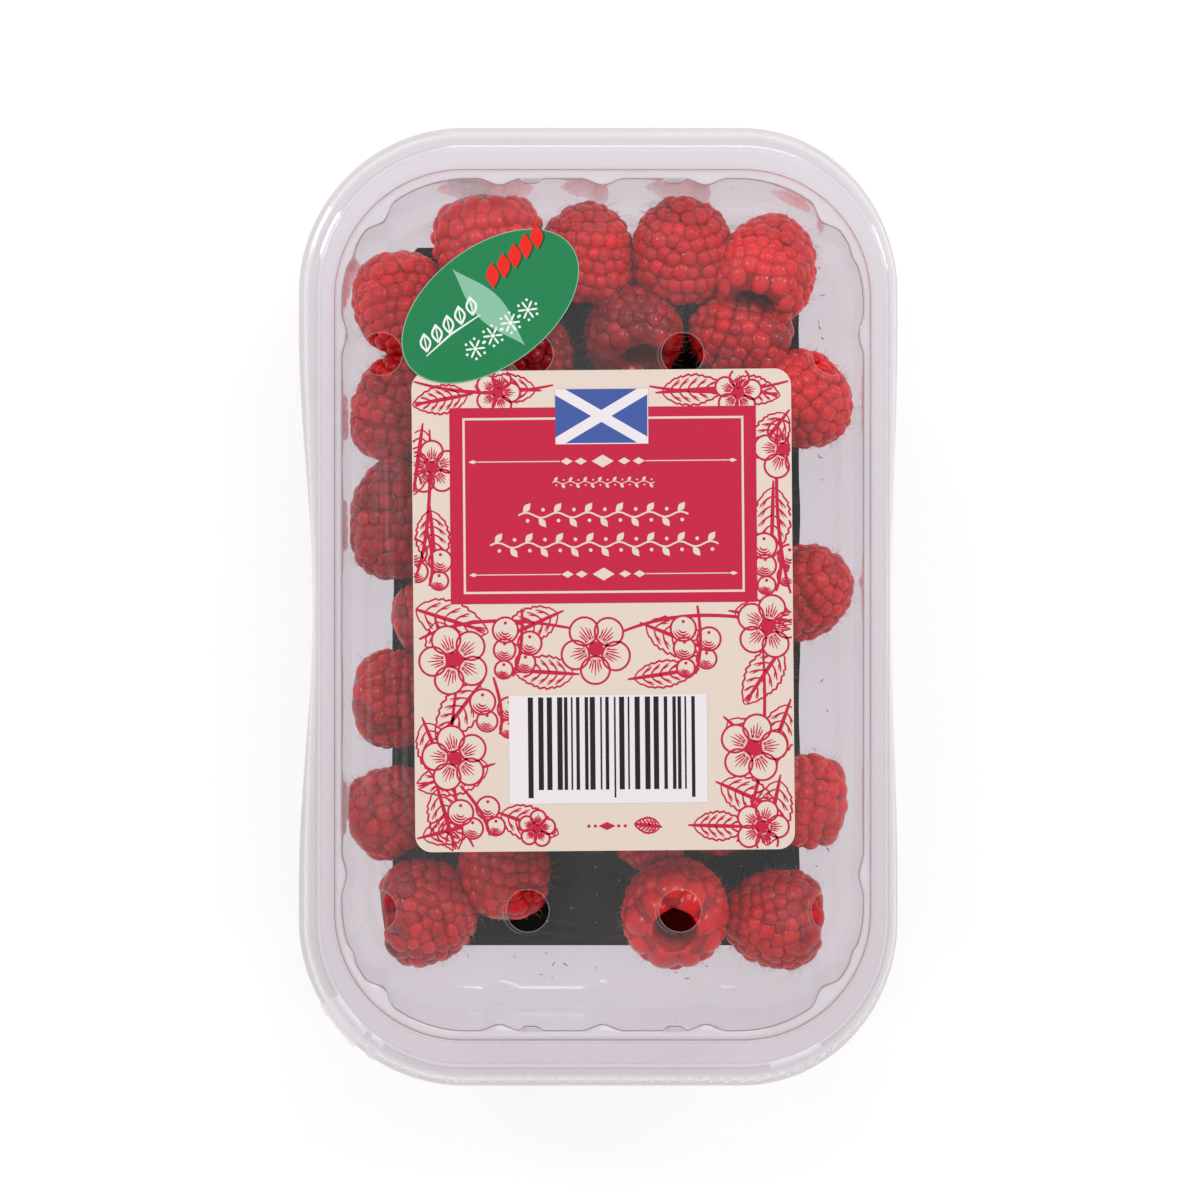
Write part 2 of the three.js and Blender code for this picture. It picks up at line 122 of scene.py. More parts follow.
UNDER_MOUTH_RINGS = [(0, SHEET + 1.0, 0, 0.5), (0, SHEET + 0.45, 0, 0.5), (-0.5, SHEET, 0, 0.5)]
BRIM_PAINTED_SHADE = 0.07  # painted shade: the brim is darker towards the near end, where less light falls

# Vent holes in the film, and the field of fine streaks
VENT_RADIUS = 4.17
VENTS = [(-42.9 + 29.8 * i, 50.0) for i in range(4)] + [(-44.0 + 30.1 * i, -60.05) for i in range(4)]
STREAKS_X = (-46.5, -38.5)
STREAKS_Y = (-34.0, 27.0)

# Label, sticker and soaker pad
LABEL_SIZE = (75.0, 95.0)
LABEL_CORNER = 3.3
LABEL_CENTRE = (1.0, -0.7)
LABEL_TURN = math.radians(0.5)
STICKER_HALF = (20.0, 11.9)
STICKER_CENTRE = (-21.3, 59.4)
STICKER_TURN = math.radians(36.7)
PAD_SIZE = (82.9, 141.7)
PAD_CENTRE = (-0.4, 2.05)
PAD_CORNER = 5.2
PAD_BASE = SHEET + AIR
PAD_TOP = PAD_BASE + 1.2
HEAP_BASE = PAD_TOP + 0.05

# Berries that show: x, y, width, length, heading of the tip from +X, tip angle, how much brighter
# than the rest (partly the berry's own colour, partly painted light and shade), and length of the crown's
# drupelets
SHOWN = [
    (-21.9, 71.8, 23, 22, 278, 6, 0.4, 5.2),
    (-2.3, 71.7, 20.4, 20.8, 85, 12, 0.08, 3.9),
    (17, 72.7, 21.6, 21.8, 88, 25, 0.02, 3.9),
    (34.3, 68.8, 20.8, 23.6, 70, -35, 0.45, 4.6),
    (-39.8, 60.2, 19.8, 21.4, 276, 26, 0.2, 3.9),
    (6.8, 56, 20.4, 18.8, 105, -40, -0.4, 4.4),
    (28, 54.5, 19.6, 21, 160, 10, -0.12, 4.6),
    (-41.2, 40.6, 17.8, 22.2, 80, 20, -0.1, 4.6),
    (42.2, 41, 19.6, 20, 320, 20, 0.35, 3.9),
    (-13.9, 51.2, 18.5, 19, 340, 0, -0.2, 3.9),
    (-41.1, 18.3, 19, 25, 92, 18, -0.27, 3.9),
    (-31.6, -1.7, 17, 19, 20, 15, -0.1, 3.9),
    (42.3, 3.6, 19.4, 20, 30, 35, 0.08, 3.4),
    (-39.8, -18.5, 20.4, 18.4, 0, 10, -0.1, 5.0),
    (31, -14.8, 18, 19, 60, 10, -0.1, 3.9),
    (-41.2, -40.8, 18.6, 19.4, 30, 10, -0.15, 4.4),
    (40.3, -39.1, 19.6, 19.2, 176, 5, 0.38, 4.4),
    (-18.9, -52.4, 19.6, 20.4, 80, 12, -0.05, 5.2),
    (-33.7, -61.3, 22, 20, 8, 0, -0.18, 4.6),
    (15.5, -60.6, 22, 26, 88, -72, 0.12, 7.2),
    (34.9, -62.8, 20.6, 21.2, 176, 0, -0.08, 4.4),
    (24, -41.5, 18, 18.5, 280, 10, -0.1, 3.9),
]
COVERED = [
    (-24, 35), (-4.5, 36), (16.5, 36.5), (-21.5, 16.5), (-1.5, 17), (19.5, 18), (-12, -1.5),
    (8, -2), (25.5, 3), (-20.5, -17), (-1, -21), (14, -17), (-24.5, -36.5), (10.5, -44.5),
]
COVERED_SIZE = (18.2, 19.2)
COVERED_TURN = 77  # each one is turned this much more than the last
COVERED_TIP = 12  # step between their tip angles, which come in turn
COVERED_TIPS = 3
UPPER = 11  # the first of them are one piece, the others another
BERRY_PROFILE = [
    (0, 0.54), (0.1, 0.84), (0.28, 1), (0.54, 0.97), (0.74, 0.82), (0.88, 0.57), (0.97, 0.3), (1, 0),
]

PROFILE_STEPS = 81
PITCH = 3.15  # from one drupelet to the next
CROWN = 3.9  # usual length of the drupelets round the mouth
FLESH = 1.05  # how far the core lies under the berry's side
SETTLE = 0.98  # a berry sinks into the pad a little
ROW_PITCH = 0.84  # from row to row, as a share of PITCH
WALL_GAP = 0.3  # least distance between berries and wall

# The hollow that the stalk's plug left, from its end out to the mouth
HOLLOW = [(0.62, 0.02), (0.58, 0.14), (0.4, 0.24), (0.2, 0.33), (0.04, 0.42), (-0.04, 0.44)]

# Prints: height of one layer, width of a drawn line and of a ruled one, and the label's fields
LAYER = 0.016
LIFT = 0.001  # height between shapes that cross on one print
LIFTS = 12
LINE = 0.42
RULE = 0.45
STICKER_TOP = HEIGHT - 0.07
LABEL_FRAME = (LABEL_SIZE[0] / 2 - 0.05, LABEL_SIZE[1] / 2 - 0.05, LABEL_CORNER)
PANEL = (-30.07, 1.45, 30.5, 40.18)
PANEL_LINE = (-27.5, 3.43, 28.03, 38.2)
BAR_FIELD = (-18.8, -38.1, 20.3, -16.7)
BARS = (-15.05, -35.4, 18.5, -17.1)
BAR_UNIT = 0.34
GUARD_FOOT = -37.0
GUARD_REACH = (1, 1.4, 0.7)  # of the longer bars, at the left, the right and either side of the middle
FLAG = (-9.12, 33.07, 9.06, 43.74)
CROSS_HALF = 1.0
FLAG_EDGES = (0.15, 0.2)  # at its right and its foot
ORNAMENT_LEVELS = (29.5, 7.18)
ORNAMENT_LINES = ((-24.6, -8.3), (8.6, 24.9))
ORNAMENT_HALF = 0.1
LOZENGES = (
    (-6.95, 1.2, 0.7), (-4.18, 1.2, 0.7), (0.17, 2.17, 1.28), (4.41, 1.2, 0.7), (7.28, 1.2, 0.7),
    (-25.5, 0.9, 0.4), (25.8, 0.9, 0.4),
)
VINES = ((-9.9, 10.4, 25.3, 2.3), (-16.6, 17.0, 18.9, 4.9), (-22.2, 22.9, 13.0, 4.9))
FOOT_MARK = -42.6  # level of the small lozenge and dots at the label's foot
FULL_TURN = np.linspace(0, 2 * math.pi, 25)

# Motifs on the sticker: the leaf's place and angle, and rows as count, first place and step
STICKER_LEAF = (0.9, -10.4, 97)
PETALS = (5, (2.6, 2.4), (2.9, 0.25))
LEAFLETS = (5, (-15.4, 0.2), (2.9, 0.1))
STARS = (4, (-7.4, -5.0), (4.3, 0.0))

# Small things: hairs on each berry that shows, bits on the floor, pin pricks and raised dots painted white as
# glints
HAIRS = 260
HAIR_RADIUS = 0.042
HAIR_REACH = (0.6, 2.0)
BITS = 60
BITS_AT_END = (34, (71, 76))  # how far to either side, and from where to where along
BITS_BESIDE = ((43, 46), 70)
PRICK_PITCH = (4.9, 5.5)
PRICK_RADIUS = (0.09, 0.22)
PRICKS_LEFT_OUT = 0.35
KNURL_PITCH = 3.15  # from one group of three dots to the next
KNURL_STEPS = range(-17, 21)
KNURL_SPACING = 0.62
KNURL_RADIUS = (0.1, 0.19)
NICK_STEPS = range(6, 16)
NICK_GROWTH = 1.6

# Table under the punnet
FLOOR_REACH = 3000.0
FLOOR_DROP = 0.4

# Where the film came loose, its whiteness a painted reflection: how far over the bead, and strips of side,
# then angle round the corner with inner and outer share of the skirt
LOOSE_INWARD = 0.5
LOOSE = [
    (-1, [(30.5, 0.05, 0.95), (34, 0, 0.98), (38.9, 0, 0.88), (44.3, 0, 0.93), (47, 0.3, 0.97),
          (49.4, 0.68, 0.99)]),
    (-1, [(51.2, 0.02, 0.12), (53, 0, 0.55), (54, 0, 0.9), (55.2, 0, 0.95), (57.6, 0.6, 0.88)]),
    (1, [(57.5, 0.1, 0.25), (60, 0, 0.4), (64, 0, 0.62), (68, 0, 0.55), (72, 0, 0.6), (74.5, 0, 0.12),
         (76.5, 0, 0.3), (79.5, 0.2, 0.45)]),
]

# Motifs on the label: leaves as x, y, angle, length, width; blossoms as x, y, radius, turn;
# currants as x, y, angle, count; stems as start, bend and end
LEAVES = [
    (12.0, 43.0, 4, 13, 6.0), (25.5, 44.2, 348, 10, 5.6), (36.5, 38.5, 232, 11, 6.4),
    (-13.0, 43.6, 176, 12, 5.6), (-26.5, 42.8, 190, 11, 5.6), (33.8, 24.0, 268, 14, 7.2),
    (-35.5, 36.0, 262, 13, 6.6), (-34.0, 20.0, 275, 12, 6.6), (-37.0, 0.5, 342, 15, 7.6),
    (-33.0, -2.0, 285, 13, 7.0), (-24.5, -14.5, 232, 14, 7.4), (-9.0, -0.5, 204, 13, 6.8),
    (-6.0, -12.5, 176, 12, 6.4), (8.5, -3.0, 338, 14, 7.2), (6.0, -13.5, 8, 13, 5.2),
    (26.0, -0.5, 350, 13, 6.6), (35.0, -8.0, 236, 13, 7.0), (24.5, -22.0, 318, 13, 6.8),
    (36.5, -19.0, 250, 13, 6.6), (23.0, -34.5, 336, 12, 6.8), (34.5, -34.0, 258, 13, 7.2),
    (17.5, -42.6, 358, 11, 5.6), (-23.0, -30.5, 196, 15, 7.6), (-35.5, -22.0, 292, 13, 7.0),
    (-33.0, -35.0, 286, 13, 7.0), (-20.5, -40.0, 340, 12, 6.6), (-36.0, -44.5, 14, 12, 5.4),
    (10.8, -42.8, 174, 5, 3.0),
]
BLOSSOMS = [
    (27.0, 42.8, 4.6, 12), (36.0, 31.5, 5.8, 30), (-20.5, 43.2, 4.4, 0), (-33.5, 28.5, 5.2, 20),
    (-1.5, -7.6, 6.8, 52), (32.5, -3.5, 6.2, 5), (-29.5, -9.5, 6.8, 40), (29.5, -27.5, 6.6, 8),
    (-29.5, -29.0, 6.4, 30), (-13.5, -43.0, 3.6, 10), (31.0, -43.0, 5.2, 0),
]
CURRANTS = [
    (34.6, 14.0, 268, 5), (-34.6, 13.5, 272, 4), (18.5, -2.2, 268, 5), (-16.5, -2.5, 262, 5),
    (-21.5, -16.0, 276, 4), (-27.0, -37.0, 300, 4),
]
STEMS = [
    ((-37.4, 6.0), (-33.5, 14.0), (-34.0, 36.0)), ((37.4, 2.0), (33.5, 14.0), (34.8, 36.0)),
    ((-37.4, -6.0), (-26.0, 1.0), (-4.0, -4.0)), ((2.0, -5.0), (16.0, 1.5), (35.0, -3.0)),
    ((-26.0, -46.5), (-33.0, -34.0), (-28.5, -12.0)), ((26.0, -46.0), (33.0, -34.0), (31.5, -8.0)),
    ((-37.0, 45.5), (-24.0, 41.5), (-9.5, 44.6)), ((37.0, 45.0), (24.0, 41.5), (9.5, 44.2)),
]


def linear(red, green, blue):
    """A colour given in display values from 0 to 255, as the shaders take it."""
    shares = [value / 255 for value in (red, green, blue)]
    return (*[s / 12.92 if s <= 0.04045 else ((s + 0.055) / 1.055) ** 2.4 for s in shares], 1.0)


def grey(value):
    return (value, value, value, 1.0)


def add_object(name, data):
    made = bpy.data.objects.new(name, data)
    bpy.context.scene.collection.objects.link(made)
    return made


# Camera, straight above the middle of the picture
FRAME_WIDTH = 237.12
CAMERA_DISTANCE = 1200.0
CAMERA_PLACE = (0.375, 1.344)
camera = add_object("camera", bpy.data.cameras.new("camera"))
camera.location = (CAMERA_PLACE[0] * MM, CAMERA_PLACE[1] * MM, (FILM_TOP + CAMERA_DISTANCE) * MM)
camera.data.sensor_width = 36.0
camera.data.lens = camera.data.sensor_width * CAMERA_DISTANCE / FRAME_WIDTH
bpy.context.scene.camera = camera
bpy.context.scene.view_settings.view_transform = "Standard"
bpy.context.scene.cycles.transparent_max_bounces = 24
bpy.context.scene.cycles.max_bounces = 6
bpy.context.scene.cycles.diffuse_bounces = 2
bpy.context.scene.cycles.glossy_bounces = 2


# Materials
EDGE_POWER = 24.0  # how fast clear plastic darkens towards edge on
GLOSS_POWER = 3.4
GLOSS_SHARE = (0.03, 0.85)


def new_tree(name):
    material = bpy.data.materials.new(name)
    material.use_nodes = True
    material.node_tree.nodes.clear()
    return material, material.node_tree


def node(tree, kind, values=None, **settings):
    """Adds a shader node; values are constants or the sockets that feed its inputs."""
    made = tree.nodes.new("ShaderNode" + kind)
    for key, value in settings.items():
        setattr(made, key, value)
    for key, value in (values or {}).items():
        if isinstance(value, bpy.types.NodeSocket):
            tree.links.new(value, made.inputs[key])
        else:
            made.inputs[key].default_value = value
    return made


def finish_tree(tree, shader):
    node(tree, "OutputMaterial", {"Surface": shader})


def finish_surface(tree, values):
    finish_tree(tree, node(tree, "BsdfPrincipled", values).outputs[0])


def place_of(tree, stretch=(1, 1, 1)):
    """Object coordinates in millimetres, stretched along the axes."""
    coordinates = node(tree, "TexCoord").outputs["Object"]
    scale = [1 / MM * s for s in stretch]
    return node(tree, "Mapping", {"Vector": coordinates, "Scale": scale}).outputs["Vector"]


def noise(tree, scale, detail=2.0, roughness=0.5, stretch=(1, 1, 1)):
    values = {"Vector": place_of(tree, stretch), "Scale": scale, "Detail": detail, "Roughness": roughness}
    return node(tree, "TexNoise", values).outputs["Fac"]


def ramp(tree, value, low, high, start, end):
    """Maps a value from low..high to start..end, and keeps it there."""
    values = {"Value": value, "From Min": low, "From Max": high, "To Min": start, "To Max": end}
    return node(tree, "MapRange", values).outputs["Result"]


def maths(tree, operation, a, b=0.0):
    return node(tree, "Math", {0: a, 1: b}, operation=operation).outputs[0]


def mixed_colour(tree, share, a, b):
    return node(tree, "Mix", {0: share, 6: a, 7: b}, data_type="RGBA").outputs[2]


def bump(tree, height, strength, distance):
    values = {"Height": height, "Strength": strength, "Distance": distance * MM}
    return node(tree, "Bump", values).outputs["Normal"]


def clear_plastic(name, tint, line_tint, haze_colour, haze, gloss_roughness, painted_light_and_shade=False):
    """Thin clear plastic: it lets light through, darkens edge on, and shines more at a slant."""
    material, tree = new_tree(name)
    facing = node(tree, "LayerWeight", {"Blend": 0.5}).outputs["Facing"]
    edge_on = maths(tree, "POWER", facing, EDGE_POWER)
    # The tone attribute paints light and shade: below 0.5 it clears the tint, above 0.5 it darkens it towards
    # the line tint
    if painted_light_and_shade:
        shade = node(tree, "Attribute", attribute_name="tone").outputs["Fac"]
        tint = mixed_colour(tree, ramp(tree, shade, 0.0, 0.5, 0.0, 1.0), grey(1.0), tint)
        edge_on = maths(tree, "MAXIMUM", edge_on, ramp(tree, shade, 0.5, 1.0, 0.0, 1.0))
    tint = mixed_colour(tree, edge_on, tint, line_tint)
    through = node(tree, "BsdfTransparent", {"Color": tint}).outputs[0]
    veil = node(tree, "BsdfDiffuse", {"Color": haze_colour}).outputs[0]
    amount = haze(tree) if callable(haze) else haze
    body = node(tree, "MixShader", {0: amount, 1: through, 2: veil}).outputs[0]
    gloss = node(tree, "BsdfGlossy", {"Color": grey(1.0), "Roughness": gloss_roughness}).outputs[0]
    share = ramp(tree, maths(tree, "POWER", facing, GLOSS_POWER), 0.0, 1.0, *GLOSS_SHARE)
    finish_tree(tree, node(tree, "MixShader", {0: share, 1: body, 2: gloss}).outputs[0])
    return material


def tray_haze(tree):
    streaks = noise(tree, 0.05, 3.0)
    return ramp(tree, streaks, 0.35, 0.75, 0.0, 0.01)


def band(tree, value, low, high, edge):
    """1 between low and high, and 0 beyond them by more than edge."""
    rise = ramp(tree, value, low - edge, low, 0.0, 1.0)
    return maths(tree, "MULTIPLY", rise, ramp(tree, value, high, high + edge, 1.0, 0.0))


def film_haze(tree):
    """Faint clouds all over, and fine whitish streaks in a field on the left."""
    cloud = ramp(tree, noise(tree, 0.035, 2.0), 0.38, 0.62, 0.0, 0.01)
    streaks = ramp(tree, noise(tree, 1.0, 3.0, stretch=(1, 0.02, 1)), 0.48, 0.72, 0.0, 0.04)
    place = node(tree, "SeparateXYZ", {"Vector": place_of(tree)}).outputs
    across, along = band(tree, place["X"], *STREAKS_X, 3.0), band(tree, place["Y"], *STREAKS_Y, 9.0)
    zone = maths(tree, "MULTIPLY", across, along)
    return maths(tree, "ADD", cloud, maths(tree, "MULTIPLY", streaks, zone))


def paper(name, colour, fibre, roughness):
    """Printed paper with a faint fibre and uneven ink."""
    material, tree = new_tree(name)
    cloud = noise(tree, 0.9, 4.0, 0.6)
    shade = ramp(tree, cloud, 0.3, 0.7, 1 - fibre, 1.0)
    dark = tuple(channel * (1 - fibre) for channel in colour[:3]) + (1.0,)
    tint = mixed_colour(tree, shade, dark, colour)
    grain = bump(tree, noise(tree, 3.0, 3.0), 0.15, 0.05)
    values = {"Base Color": tint, "Roughness": roughness, "Normal": grain, "Specular IOR Level": 0.25}
    finish_surface(tree, values)
    return material


def pad_fleece():
    """Black fleece with fine fibres along X, partly bluish and partly brown."""
    material, tree = new_tree("pad_fleece")
    fibres = noise(tree, 0.8, 4.0, 0.6, (0.2, 1.2, 1))
    patches = noise(tree, 0.06, 2.0)
    warm = mixed_colour(tree, ramp(tree, patches, 0.4, 0.6, 0, 1), linear(20, 22, 27), linear(25, 22, 20))
    tint = mixed_colour(tree, ramp(tree, fibres, 0.55, 0.8, 0, 1), warm, linear(62, 62, 64))
    relief = bump(tree, fibres, 0.3, 0.15)
    values = {"Base Color": tint, "Roughness": 0.7, "Normal": relief, "Specular IOR Level": 0.08}
    finish_surface(tree, values)
    return material


def berry_flesh(name, bright, dark, bloom):
    """Juicy red flesh; each drupelet has a tone of its own, under a thin pale bloom in patches."""
    material, tree = new_tree(name)
    tone = node(tree, "Attribute", attribute_name="tone").outputs["Fac"]
    cloud = noise(tree, 0.35, 3.0)
    blend = maths(tree, "ADD", tone, ramp(tree, cloud, 0.3, 0.7, -0.14, 0.14))
    tint = mixed_colour(tree, blend, dark, bright)
    patches = ramp(tree, noise(tree, 0.14, 2.0), 0.4, 0.7, 0.0, 0.16)
    tint = mixed_colour(tree, patches, tint, bloom)
    grain = bump(tree, noise(tree, 1.1, 3.0), 0.45, 0.25)
    values = {
        "Base Color": tint,
        "Roughness": 0.3,
        "Normal": grain,
        "Specular IOR Level": 0.1,
        "Coat Weight": 0.4,
        "Coat Roughness": 0.1,
        "Subsurface Weight": 0.5,
        "Subsurface Radius": (2.2, 0.3, 0.25),
        "Subsurface Scale": 1.0 * MM,
    }
    finish_surface(tree, values)
    return material


def plain(name, colour, roughness=0.5, specular=0.3):
    material, tree = new_tree(name)
    cloud = noise(tree, 2.0, 2.0)
    dark = tuple(channel * 0.8 for channel in colour[:3]) + (1.0,)
    tint = mixed_colour(tree, ramp(tree, cloud, 0.3, 0.7, 0, 1), dark, colour)
    values = {"Base Color": tint, "Roughness": roughness, "Specular IOR Level": specular}
    finish_surface(tree, values)
    return material


CREAM = linear(228, 211, 198)
CRIMSON = linear(198, 30, 66)
INK_BLUE = linear(66, 90, 162)
MATERIALS = {
    "tray": clear_plastic(
        "tray_plastic", linear(240, 237, 240), linear(176, 160, 160), linear(236, 230, 238), tray_haze, 0.06,
        painted_light_and_shade=True,
    ),
    "film": clear_plastic(
        "film_plastic", linear(254.5, 254, 254.5), linear(214, 208, 210), linear(236, 232, 240), film_haze,
        0.07,
    ),
    "label": paper("label_paper", CREAM, 0.035, 0.6),
    "crimson": paper("crimson_print", CRIMSON, 0.05, 0.55),
    "cream": paper("cream_print", CREAM, 0.02, 0.6),
    "blue": paper("blue_print", INK_BLUE, 0.05, 0.55),
    "field": paper("white_print", linear(236, 228, 232), 0.02, 0.6),
    "bars": paper("black_print", linear(32, 26, 30), 0.1, 0.55),
    "sticker": paper("sticker_paper", linear(28, 128, 78), 0.1, 0.5),
    "pale_green": paper("pale_green_print", linear(138, 192, 163), 0.06, 0.5),
    "deep_green": paper("deep_green_print", linear(14, 84, 50), 0.06, 0.5),
    "red": paper("red_print", linear(238, 34, 24), 0.03, 0.5),
    "white": paper("bright_print", linear(240, 246, 240), 0.02, 0.5),
    "pad": pad_fleece(),
    "flesh": berry_flesh("berry_flesh", linear(255, 26, 30), linear(142, 2, 10), linear(240, 112, 118)),
    "hair": plain("berry_hair", linear(196, 136, 126)),
    "bit": plain("bit_brown", linear(96, 74, 70)),
    # Painted reflection: a whitish veil for the shine of the loose film
    "veil": clear_plastic("loose_film_painted_reflection", grey(0.9), grey(0.6), linear(255, 246, 254), 0.6, 0.3),
    # Painted highlight: a whitish veil for the light caught by the vent holes' cut edges
    "rim": clear_plastic("painted_vent_glint", grey(0.96), grey(0.8), linear(226, 206, 204), 0.24, 0.3),
    # Painted highlight: white for the glints on the knurled film edge
    "painted_glint": plain("painted_glint_white", linear(252, 248, 252)),
    "speck": plain("pad_speck", linear(225, 222, 225)),
}


def make_piece(name, points, faces, material, replaced=(), smooth=True, tone=None):
    """Makes one object from points in millimetres, which moves with the punnet."""
    mesh = bpy.data.meshes.new(name)
    mesh.from_pydata((np.asarray(points, float) * MM).tolist(), [], [list(face) for face in faces])
    mesh.polygons.foreach_set("use_smooth", np.broadcast_to(smooth, len(mesh.polygons)).tolist())
    if tone is not None:
        mesh.attributes.new("tone", "FLOAT", "POINT").data.foreach_set("value", np.asarray(tone, np.float32))
    mesh.materials.append(MATERIALS[material])
    mesh.update()
    made = add_object(name, mesh)
    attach(made, "root")
    for target in replaced:
        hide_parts(target)


# Outlines of the tray and film, as the solids have them but with finer steps
SIDE_STEPS = [*np.arange(0, 46, 4.0), *np.arange(46, 58.6, 0.5)]
CORNER_STEPS = list(np.arange(0, 90.1, 1.5))
END_STEPS = list(np.arange(26, -0.1, -0.4))


def make_stations():
    """Rows of kind (0 side, 1 corner, 2 end), flip in X, flip in Y, place along, round the outline."""
    def quarter(flip_x, flip_y):
        rows = [(0, flip_x, flip_y, step) for step in SIDE_STEPS]
        rows += [(1, flip_x, flip_y, step) for step in CORNER_STEPS]
        return rows + [(2, flip_x, flip_y, step) for step in END_STEPS]

    loop = quarter(1, 1) + quarter(-1, 1)[-2::-1] + quarter(-1, -1)[1:] + quarter(1, -1)[-2:0:-1]
    return np.array(loop, float)


STATIONS = make_stations()
KIND, FLIP_X, _, ALONG = STATIONS.T


def swell(distance, reach):
    return np.cos(np.minimum(np.abs(distance) / reach, 1) * math.pi / 2) ** 2


def flute_depth():
    """How far the wall is pressed inwards at each station."""
    side = 0.9 * swell(ALONG - 53.5, 4.5)
    corner = 1.6 * swell(ALONG - 45, 10) + 0.4 * swell(ALONG - 22.5, 6)
    at_end = [swell(ALONG * FLIP_X - at, END_FLUTE_REACH) for at in END_FLUTES]
    end = END_FLUTE_DEPTH * np.max(at_end, axis=0)
    return np.choose(KIND.astype(int), [side, corner, end])


def lug_depth():
    """How far the stacking lugs stand in from the wall's top."""
    bump_up = np.clip(2 * (2.4 - np.abs(ALONG - 14.25)) / 2.4, 0, 1)
    return np.where(KIND == 2, 0.9 * bump_up, 0)


def flare_reach(stations):
    """How far the skirt flares out beyond the bead."""
    kind, flip_x, _, along = stations.T
    side = np.where(flip_x > 0, FLARE_RIGHT, FLARE_LEFT)
    waist = side * (1 - WAIST_LOSS * swell(along, WAIST_REACH))
    corner = side + (FLARE_END - side) * np.sin(np.radians(along)) ** 2
    return np.choose(kind.astype(int), [waist, corner, np.full_like(side, FLARE_END)])


FLUTES = flute_depth()
LUGS = lug_depth()
FLARE = flare_reach(STATIONS)


def outline(shape, z, out=0.0, stations=STATIONS):
    """Points of one outline at one height, moved outwards by out."""
    half_width, half_length = shape["half"]
    corner = shape["corner"]
    kind, flip_x, flip_y, along = stations.T
    out = np.broadcast_to(out, along.shape)
    angle = np.radians(along)
    x_corner = half_width - corner + (corner + out) * np.cos(angle)
    y_corner = half_length - corner + (corner + out) * np.sin(angle)
    kind = kind.astype(int)
    x = np.choose(kind, [half_width + out, x_corner, along]) * flip_x + shape["centre"][0]
    y = np.choose(kind, [along, y_corner, half_length + out]) * flip_y + shape["centre"][1]
    return np.column_stack([x, y, np.broadcast_to(z, x.shape)])


def ring_faces(rings, closed=True):
    """Quads between rings of equal count, or between open rows."""
    count = len(rings[0])
    faces = []
    for low in range(0, (len(rings) - 1) * count, count):
        high = low + count
        for i in range(count if closed else count - 1):
            j = (i + 1) % count
            faces.append((low + i, low + j, high + j, high + i))
    return faces


def merged(parts):
    """Points and faces of several parts as one."""
    points, faces, count = [], [], 0
    for part_points, part_faces in parts:
        points.append(part_points)
        faces.append(np.array(part_faces) + count)
        count += len(part_points)
    return np.vstack(points), np.vstack(faces)


def foot_rings(grow, base, radius):
    rings = [outline(WALL_FOOT, base, -FILLET - 0.7 - FLUTES)]
    for angle in np.radians(np.arange(0, 91, 10)):
        inset = (FILLET + grow) * (1 - np.sin(angle))
        z = base + radius * (1 - math.cos(angle))
        rings.append(outline(WALL_FOOT, z, grow - inset - FLUTES))
    return rings


def between(start, end, steps):
    return [start + (end - start) * step / steps for step in range(1, steps)]


def build_tray():
    """Up the inside, over the ledge, the flange and the bead, down the skirt and back underneath.

    Each ring has a tone that paints light and shade: 0.5 is plain sheet, 1 a painted dark line at a bend, and
    0 an edge that fades out to clear.
    """
    wall_push = -np.maximum(FLUTES, LUGS)
    foot, under_foot = foot_rings(0, SHEET, FILLET), foot_rings(SHEET, 0, FILLET + SHEET)
    shoulder = outline(WALL_TOP, SHOULDER, -FLUTES)
    under_shoulder = outline(WALL_TOP, SHOULDER, SHEET - FLUTES)

    def plain_rings(rings):
        return [(ring, 0.5) for ring in rings]

    def lofted(shape, base, rows, push=0.0):
        """Rings of one outline: height over base, how far out, share of the push, and tone."""
        return [(outline(shape, base + z, out + share * push), tone) for z, out, share, tone in rows]

    rows = plain_rings([*foot, *between(foot[-1], shoulder, 4), shoulder])
    rows += lofted(WALL_TOP, LEDGE, WALL_RINGS, wall_push)
    rows += lofted(MOUTH, LEDGE, LEDGE_RINGS)
    rows += lofted(MOUTH, FLANGE_TOP, MOUTH_RINGS)
    rows += lofted(BEAD, FLANGE_TOP, BEAD_RINGS, FLARE)
    rows += lofted(BEAD, SKIRT_EDGE, SKIRT_RINGS, FLARE)
    rows += lofted(BEAD, FLANGE_TOP - SHEET, UNDER_BEAD_RINGS, FLARE)
    rows += lofted(MOUTH, FLANGE_TOP - SHEET, UNDER_MOUTH_RINGS)
    rows += plain_rings([
        outline(MOUTH, LEDGE - SHEET, SHEET - 0.5),
        outline(WALL_TOP, LEDGE - SHEET - 0.3, SHEET + wall_push),
        under_shoulder,
        *between(under_shoulder, under_foot[-1], 4),
        *under_foot[::-1],
    ])
    rings, tones = zip(*rows)
    count = len(STATIONS)
    points = np.vstack(rings)
    faces = ring_faces(rings)
    last = (len(rings) - 1) * count
    faces += cap_faces(points, list(range(count))[::-1]) + cap_faces(points, list(range(last, last + count)))
    tone = np.repeat(tones, count)
    # Painted shade: the brim darkens towards the near end
    near = np.clip(0.2 - points[:, 1] / LENGTH, 0, 0.7)
    tone += np.where((points[:, 2] > SKIRT_EDGE + 0.2) & (tone > 0.3), BRIM_PAINTED_SHADE * near, 0)
    make_piece("tray_shell", points, faces, "tray", ["tray"], tone=tone)


def cap_faces(points, loop):
    """Triangles that close one flat loop."""
    return [tuple(loop[i] for i in triangle) for triangle in flat_polygon([points[i][:2] for i in loop])]


def arc(x, y, reach_x, reach_y, angles):
    """Points of an oval about a place, at the given angles."""
    return [(x + reach_x * math.cos(a), y + reach_y * math.sin(a)) for a in angles]


def circle(x, y, radius, steps):
    return arc(x, y, radius, radius, np.arange(steps) / steps * 2 * math.pi)


